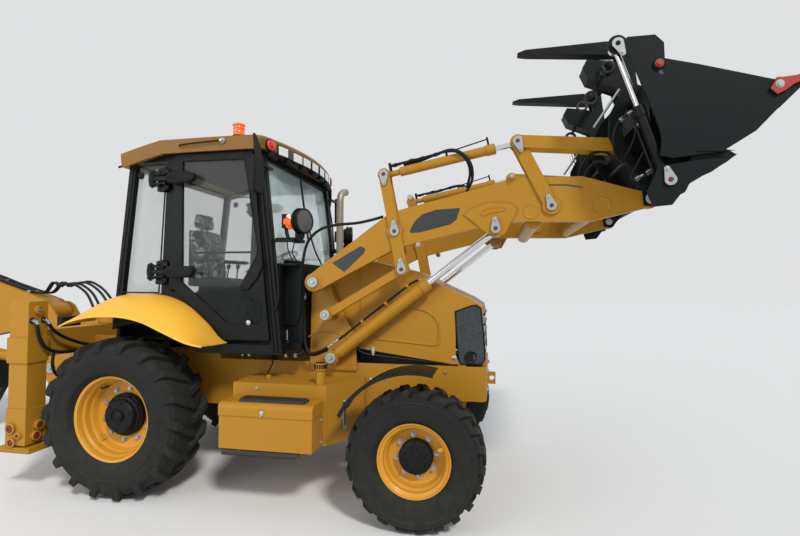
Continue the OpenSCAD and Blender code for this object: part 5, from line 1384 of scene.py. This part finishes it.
# Filler neck and knurled cap
s = Shape()
c = W(1.59, -0.8, 0.9)
s.lathe(c, UP, [(0.036, 0), (0.036, 0.1), (0.045, 0.104), (0.045, 0.112), (0, 0.112)], 32)
s.pair("filler_neck", "ochre", bevel=0.001)
s = Shape()
s.lathe(c, UP, [(0.044, 0.112), (0.046, 0.12), (0.046, 0.15), (0.04, 0.16), (0, 0.161)], 36)
for d in circle(Vector(), X, Y, 0.046, 14):
    s.rod(c + d + UP * 0.118, c + d + UP * 0.153, 0.005, 8)
s.pair("filler_cap", "plastic")
# Level gauge on the slanted tank end
slant = Vector((0.195, 0.35, 0)).normalized()
outward = Vector((0.35, -0.195, 0)).normalized()


def on_gauge(out, across, z):
    return W(1.745, -0.699, z) + outward * out + slant * across


s = Shape()
s.quads([[on_gauge(a, b, z) for a, b in ((-0.002, -0.016), (0.01, -0.016), (0.01, 0.016), (-0.002, 0.016))]
         for z in (0.54, 0.77)])
s.pair("gauge_frame", "steel", bevel=0.003)
s = Shape()
s.quads([[on_gauge(a, b, z) for a, b in ((0.006, -0.006), (0.012, -0.006), (0.012, 0.006), (0.006, 0.006))]
         for z in (0.575, 0.735)])
s.pair("gauge_tube", "blank")
s = Shape()
for z in (0.555, 0.755):
    s.bolt(on_gauge(0.01, 0, z), outward, 0.008, 0.008)
s.pair("gauge_bolts", "steel")
# Sender on top of the tank
s = Shape()
s.lathe((1.1, -0.66, 0.9), UP, [(0.02, 0), (0.02, 0.02), (0.012, 0.026), (0, 0.028)], 20)
s.pair("tank_sender", "ochre")

# Stabiliser tubes: bosses, recessed bolts, fittings and hoses
leg_rounds = ((-0.682, -1.021, 0.529, X, 0.04), (-0.682, -1.048, 0.45, X, 0.04),
              (-0.824, -LEG_SIDE, 0.519, -Y, 0.042), (-0.75, -LEG_SIDE, 0.47, -Y, 0.026),
              (-0.813, -LEG_SIDE, 0.411, -Y, 0.038), (-0.898, -1.021, 0.529, -X, 0.04),
              (-0.898, -1.048, 0.45, -X, 0.04), (-0.693, -1.039, 1.44, X, 0.036))
s = Shape()
for x, y, z, ax, r in leg_rounds:
    s.lathe((x, y, z), ax, [(r, -0.001), (r, 0.006), (r - 0.004, 0.01), (r - 0.012, 0.01),
                            (r - 0.014, 0.006), (r - 0.014, 0.001), (0.0, 0.001)], 36)
s.pair("leg_bosses", "ochre")
s = Shape()
for x, y, z, ax, r in leg_rounds[:-1]:
    s.lathe((x, y, z), ax, [(r - 0.018, 0.0), (r - 0.018, 0.012), (0.011, 0.014), (0.011, 0.008),
                            (0, 0.008)], 24)
s.pair("leg_bolts", "nub")
s = Shape()
s.bolt((-0.692, -1.039, 1.44), X, 0.014, 0.014)
for y in (-1.088, -0.989):
    s.rod((-0.706, y, 1.357), (-0.668, y, 1.355), 0.011, 14)
    s.rod((-0.668, y, 1.357), (-0.655, y + 0.008, 1.325), 0.013, 14)
    s.rod((-0.67, y, 1.357), (-0.685, y, 1.357), 0.017, 6)
s.pair("leg_fittings", "steel")
# Dark discs at the fittings: painted shade inside the holes
s = Shape()
for y in (-1.088, -0.989):
    s.lathe((-0.7045, y, 1.357), X, [(0.026, 0), (0.026, 0.002), (0, 0.002)], 28)
s.pair("leg_holes", "blank")
s = Shape()
s.tube([(-0.66, -1.086, 1.33), (-0.655, -1.075, 1.24), (-0.655, -1.02, 1.15), (-0.66, -0.932, 1.1),
        (-0.67, -0.8, 1.075), (-0.69, -0.6, 1.07), (-0.7, -0.47, 1.04)], 0.014, 12)
s.tube([(-0.66, -0.985, 1.33), (-0.655, -0.94, 1.27), (-0.66, -0.834, 1.204), (-0.67, -0.67, 1.14),
        (-0.69, -0.52, 1.1), (-0.7, -0.46, 1.06)], 0.014, 12)
s.tube([(-0.66, -0.93, 1.09), (-0.655, -0.945, 1.0), (-0.66, -0.92, 0.93), (-0.68, -0.85, 0.88),
        (-0.7, -0.7, 0.87), (-0.7, -0.47, 0.9)], 0.012, 12)
s.pair("leg_hoses", "hose", angle=60)
# Weld beads on the leg collars
s = Shape()
for z, e in ((1.224, 0.012), (1.026, 0.012), (0.667, 0.008)):
    bead(s, [(-0.875 - e * 0.3, z), (-0.705 + e * 0.3, z)], -1.12 - e * 0.5, 0.005, closed=False)
    s.rod((-0.703, -1.118, z), (-0.703, -0.952, z), 0.005, 8)
s.pair("leg_welds", "ochre", angle=80)
# Foot plates with turned-up ends
for tag, side in LONG_SIDES:
    s = Shape()
    s.quads([[(x0, side * y, z), (x1, side * y, z), (x1, side * y, z - 0.014), (x0, side * y, z - 0.014)]
             for x0, x1, y, z in ((-0.945, -0.635, 1.12, 0.352), (-0.935, -0.645, 1.1455, 0.362))])
    s.done("foot_lip_" + tag, "ochre", tag + "_leg")
# Tail lamps behind the rear fenders
for tag, side in SIDES:
    s = Shape()
    s.box(-0.505, -0.455, *span(side, 0.88, 1.06), 1.312, 1.392)
    s.done("tail_box_" + tag, "black", bevel=0.006)
    for name, mat, y0, y1 in (("tail_red_", "lamp_red", 0.89, 0.965),
                              ("tail_amber_", "lamp_orange", 0.972, 1.05)):
        Shape().box(-0.511, -0.503, *span(side, y0, y1), 1.32, 1.384).done(name + tag, mat, bevel=0.003)
# Blank number plate on the cab's rear
Shape().box(-0.289, -0.258, -0.16, 0.16, 1.26, 1.37).done("number_plate", "plate", bevel=0.002)

# Loader bucket back: chevron rests under the forks, shackles, ribs and hoses
s = Shape()
for side in (-1, 1):
    s.slab([(3.527, 3.264), (3.566, 3.177), (3.775, 3.093), (3.785, 3.108), (3.578, 3.189), (3.541, 3.266)],
           *span(side, 0.443, 0.569))
s.done("fork_rests", "coal", "shovel", bevel=0.003)


def torus(s, c, axis, R, r, n=28, m=10):
    c, a = at(c), Vector(axis).normalized()
    pts = circle(c, *square_to(a), R, n)
    s.quads([circle(p, (p - c).normalized(), a, r, m) for p in pts + pts[:1]])


s = Shape()
for side in (-1, 1):
    torus(s, (3.7, side * 0.6, 3.245), (0.3, 1, 0.2), 0.038, 0.011)
    torus(s, (3.66, side * 0.61, 3.215), (1, 0.2, 0.4), 0.03, 0.01)
    torus(s, (3.6, side * 0.506, 3.06), (0.2, 1, 0.3), 0.042, 0.012)
    torus(s, (3.534, side * 0.506, 3.0), (0.1, 1, -0.2), 0.034, 0.009)
    s.rod((3.64, side * 0.506, 3.15), (3.61, side * 0.506, 3.09), 0.014, 12)
    s.bolt((3.735, side * 0.58, 3.255), (0, side, 0), 0.014, 0.02)
s.done("shackles", "iron", "shovel", angle=70)
s = Shape()
for side in (-1, 1):
    s.rod((3.741, side * 0.75, 3.018), (3.571, side * 0.75, 2.76), 0.01, 12)
s.done("back_braces", "steel", "shovel")
# Curved ribs on the bucket back
s = Shape()
ribc = [(3.8, 3.02), (3.72, 2.93), (3.655, 2.8), (3.65, 2.66), (3.7, 2.54), (3.8, 2.43), (3.84, 2.31),
        (3.87, 2.31), (3.845, 2.44), (3.77, 2.56), (3.73, 2.68), (3.735, 2.79), (3.79, 2.9), (3.86, 2.99)]
rib_rows = (-0.86, -0.28, 0.265, 0.845)
for y in rib_rows:
    s.slab(ribc, y, y + 0.015)
s.done("back_ribs", "coal", "shovel", bevel=0.003)
s = Shape()
for y in rib_rows:
    bead(s, ribc[:7], y + 0.0075, 0.009, closed=False)
s.done("back_rib_edges", "coal", "shovel", angle=80)
# Pipes and hoses across the bucket's back
s = Shape()
s.tube([(3.8, -0.58, 2.62), (3.74, -0.5, 2.6), (3.73, -0.3, 2.595), (3.73, 0, 2.595), (3.73, 0.3, 2.595),
        (3.74, 0.5, 2.6), (3.8, 0.58, 2.62)], 0.011)
s.tube([(3.79, -0.9, 2.48), (3.76, -0.7, 2.5), (3.77, -0.3, 2.505), (3.77, 0.3, 2.505), (3.76, 0.7, 2.5),
        (3.79, 0.9, 2.48)], 0.009)
for side in (-1, 1):
    s.tube([(3.74, side * 0.985, 2.76), (3.69, side * 0.97, 2.73), (3.662, side * 0.95, 2.67),
            (3.66, side * 0.92, 2.6), (3.69, side * 0.86, 2.53), (3.75, side * 0.78, 2.5)], 0.01)
    s.tube([(3.78, side * 1.0, 2.67), (3.775, side * 0.975, 2.61), (3.755, side * 0.93, 2.55),
            (3.74, side * 0.86, 2.51)], 0.009)
    s.tube([(3.5, side * 0.58, 2.3), (3.49, side * 0.585, 2.42), (3.52, side * 0.59, 2.54),
            (3.58, side * 0.6, 2.61), (3.66, side * 0.62, 2.62), (3.73, side * 0.66, 2.56)], 0.0105)
    s.tube([(3.54, side * 0.585, 2.31), (3.53, side * 0.57, 2.41), (3.56, side * 0.56, 2.5),
            (3.62, side * 0.57, 2.56), (3.7, side * 0.6, 2.54)], 0.0105)
    s.tube([(3.84, side * 0.97, 2.53), (3.8, side * 0.95, 2.45), (3.765, side * 0.93, 2.36),
            (3.8, side * 0.94, 2.345), (3.86, side * 0.96, 2.38)], 0.008)
s.done("bucket_hoses", "hose", "shovel", angle=60)
s = Shape()
for side in (-1, 1):
    for p in ((3.745, 0.985, 2.765), (3.785, 1.0, 2.675), (3.7, 0.97, 2.735), (3.86, 0.96, 2.385),
              (3.8, 0.94, 2.35)):
        c = W(p[0], side * p[1], p[2])
        s.rod(c - Vector((0.012, 0, 0.008)), c + Vector((0.014, 0, 0.01)), 0.015, 6)
        s.rod(c + Vector((0.014, 0, 0.01)), c + Vector((0.035, side * 0.006, 0.022)), 0.011, 12)
s.done("bucket_fittings", "steel", "shovel")
# Hard pipes along the clam barrels
on_clam = along((3.933, 2.297), (3.642, 3.162))
s = Shape()
for side in (-1, 1):
    s.tube([on_clam(a, b, side * 1.055)
            for a, b in ((0.09, 0.036), (0.12, 0.046), (0.3, 0.046), (0.44, 0.046), (0.47, 0.034))], 0.008)
s.done("clam_pipes", "hose", "clam_barrel_pair", angle=60)

# Clam: cutting edge, side cutters and ledge
s = Shape()
s.slab([(4.6, 2.815), (4.672, 2.868), (4.684, 2.862), (4.668, 2.842), (4.53, 2.702),
        (4.5, 2.7)], -1.128, 1.128)
s.done("cutting_edge", "coal", "clam", bevel=0.002)
s = Shape()
cut = [(4.475, 2.815), (4.512, 2.777), (4.56, 2.8), (4.6, 2.832), (4.65, 2.852), (4.684, 2.886),
       (4.684, 2.915), (4.62, 2.885), (4.545, 2.878), (4.515, 2.88)]
s.slab(cut, -1.148, -1.1305)
s.pair("side_cutters", "red", "clam", bevel=0.003)
Shape().bolt((4.526, -1.148, 2.838), -Y, 0.016, 0.008).pair("side_cutter_bolts", "plate", "clam")
s = Shape()
s.slab([(4.085, 2.462), (4.09, 2.476), (4.235, 2.468), (4.3, 2.46), (4.235, 2.458)], -1.1335, -1.1295)
s.pair("clam_ledge", "coal", "clam", bevel=0.001)
s = Shape()
s.slab([(3.875, 2.985), (3.895, 2.985), (3.905, 2.955), (3.893, 2.945), (3.876, 2.96)], -1.1325, -1.1295)
s.pair("clam_hole_shade", "blank", "clam")
Shape().bolt((3.878, -1.145, 3.016), -Y, 0.017, 0.012).pair("clam_pin_bolt", "red", "shovel")

# Digging arm: the boom rises 12 degrees to the rear and the dipper hangs at 50 degrees
P0 = Vector((-1.62, 1.36))
P1 = P0 + 2.648 * Vector((-math.cos(math.radians(12)), math.sin(math.radians(12))))
du = Vector((math.cos(math.radians(50)), -math.sin(math.radians(50))))
P2 = P1 + 1.6 * du
for name, body, p, y in (("P0", "swing_post", P0, 0.155), ("boom_base", "swing_post", (-1.5, 0.8), 0.155),
                         ("P1", "digging_boom", P1, 0.123), ("dipper_pin", "dipper_arm", P2, 0.103),
                         ("tip_base", "tipping_links", P1 + 1.2 * du, 0.107)):
    round_cap("cap_" + name, body, p, y=y, r=0.05)


def on_boom(a, b):
    d = (P1 - P0).normalized()
    return P0 + d * a + Vector((d.y, -d.x)) * b


run = [on_boom(a, b) for a, b in ((0.15, 0.165), (0.5, 0.17), (0.9, 0.208), (1.3, 0.2), (1.6, 0.19))]
s = Shape()
for dy in (-0.06, -0.035, 0.035, 0.06):
    s.tube([(-1.5, dy * 1.2, 1.62), (-1.6, dy * 1.1, 1.66)] + [(q.x, dy, q.y) for q in run], 0.011)
s.done("boom_pipes", "hose", "digging_boom", angle=60)
s = Shape()
for a, b in ((0.3, 0.155), (0.7, 0.185), (1.1, 0.198), (1.5, 0.19)):
    q = on_boom(a, b)
    s.box(q.x - 0.02, q.x + 0.02, -0.08, 0.08, q.y - 0.02, q.y + 0.004)
s.done("boom_clamps", "steel", "digging_boom", bevel=0.003)
# Plain dark plates on the boom's sides
s = Shape()
pl = [on_boom(0.75, 0.03), on_boom(0.8, 0.1), on_boom(1.45, 0.09), on_boom(1.4, -0.02), on_boom(0.9, -0.05)]
s.slab([(q.x, q.y) for q in pl], -0.1172, -0.1145)
s.pair("boom_plain_plates", "blank", "digging_boom")
# Hoses from the carriage up to the boom
s = Shape()
for k, dy in enumerate((-0.07, -0.03, 0.03, 0.07)):
    s.tube([(-1.0, dy * 2, 1.33), (-1.05, dy * 2, 1.45), (-1.15, dy * 1.6, 1.56 + 0.01 * k),
            (-1.3, dy * 1.4, 1.64 + 0.01 * k), (-1.45, dy * 1.25, 1.645), (-1.52, dy * 1.2, 1.625)], 0.0125)
s.done("swing_hoses", "hose", "swing_post", angle=60)
# Tooth adapters, side cutters and wear strips of the digging bucket
hs = math.radians(10)


def on_hoe(x, z):
    return (P2.x + x * math.cos(hs) - z * math.sin(hs), P2.y + x * math.sin(hs) + z * math.cos(hs))


s = Shape()
for i in range(-2, 3):
    y = i * 0.13
    s.slab([on_hoe(0.6, -0.07), on_hoe(0.64, -0.018), on_hoe(0.66, -0.01), on_hoe(0.655, -0.032),
            on_hoe(0.615, -0.066)], y - 0.034, y + 0.034)
s.done("tooth_adapters", "iron", "digging_bucket", bevel=0.003)
s = Shape()
s.slab([on_hoe(0.54, 0.012), on_hoe(0.6, -0.002), on_hoe(0.64, -0.05), on_hoe(0.56, -0.12)], -0.312, -0.3005)
s.pair("hoe_side_cutters", "iron", "digging_bucket", bevel=0.003)
s = Shape()
for p in ((0.575, -0.03), (0.58, -0.08)):
    q = on_hoe(*p)
    s.bolt((q[0], -0.312, q[1]), -Y, 0.012, 0.01)
s.pair("hoe_cutter_bolts", "steel", "digging_bucket")
s = Shape()
wear = [(0.15, -0.47), (0.29, -0.52), (0.45, -0.48), (0.6, -0.31)]
strip = [on_hoe(x, z) for x, z in wear] + [on_hoe(x + 0.006, z - 0.01) for x, z in reversed(wear)]
for y in (-0.2, 0.0, 0.2):
    s.slab(strip, y - 0.025, y + 0.025)
s.done("hoe_wear_strips", "iron", "digging_bucket")

# Lug covers where the shovel meets its links and arms
s = Shape()
teardrop(s, (3.8, 2.64), (1, 0.15), 0.11, 0.056, 0.07, -0.713, -0.704)
s.pair("shovel_lug_covers", "coal", "shovel", bevel=0.002)
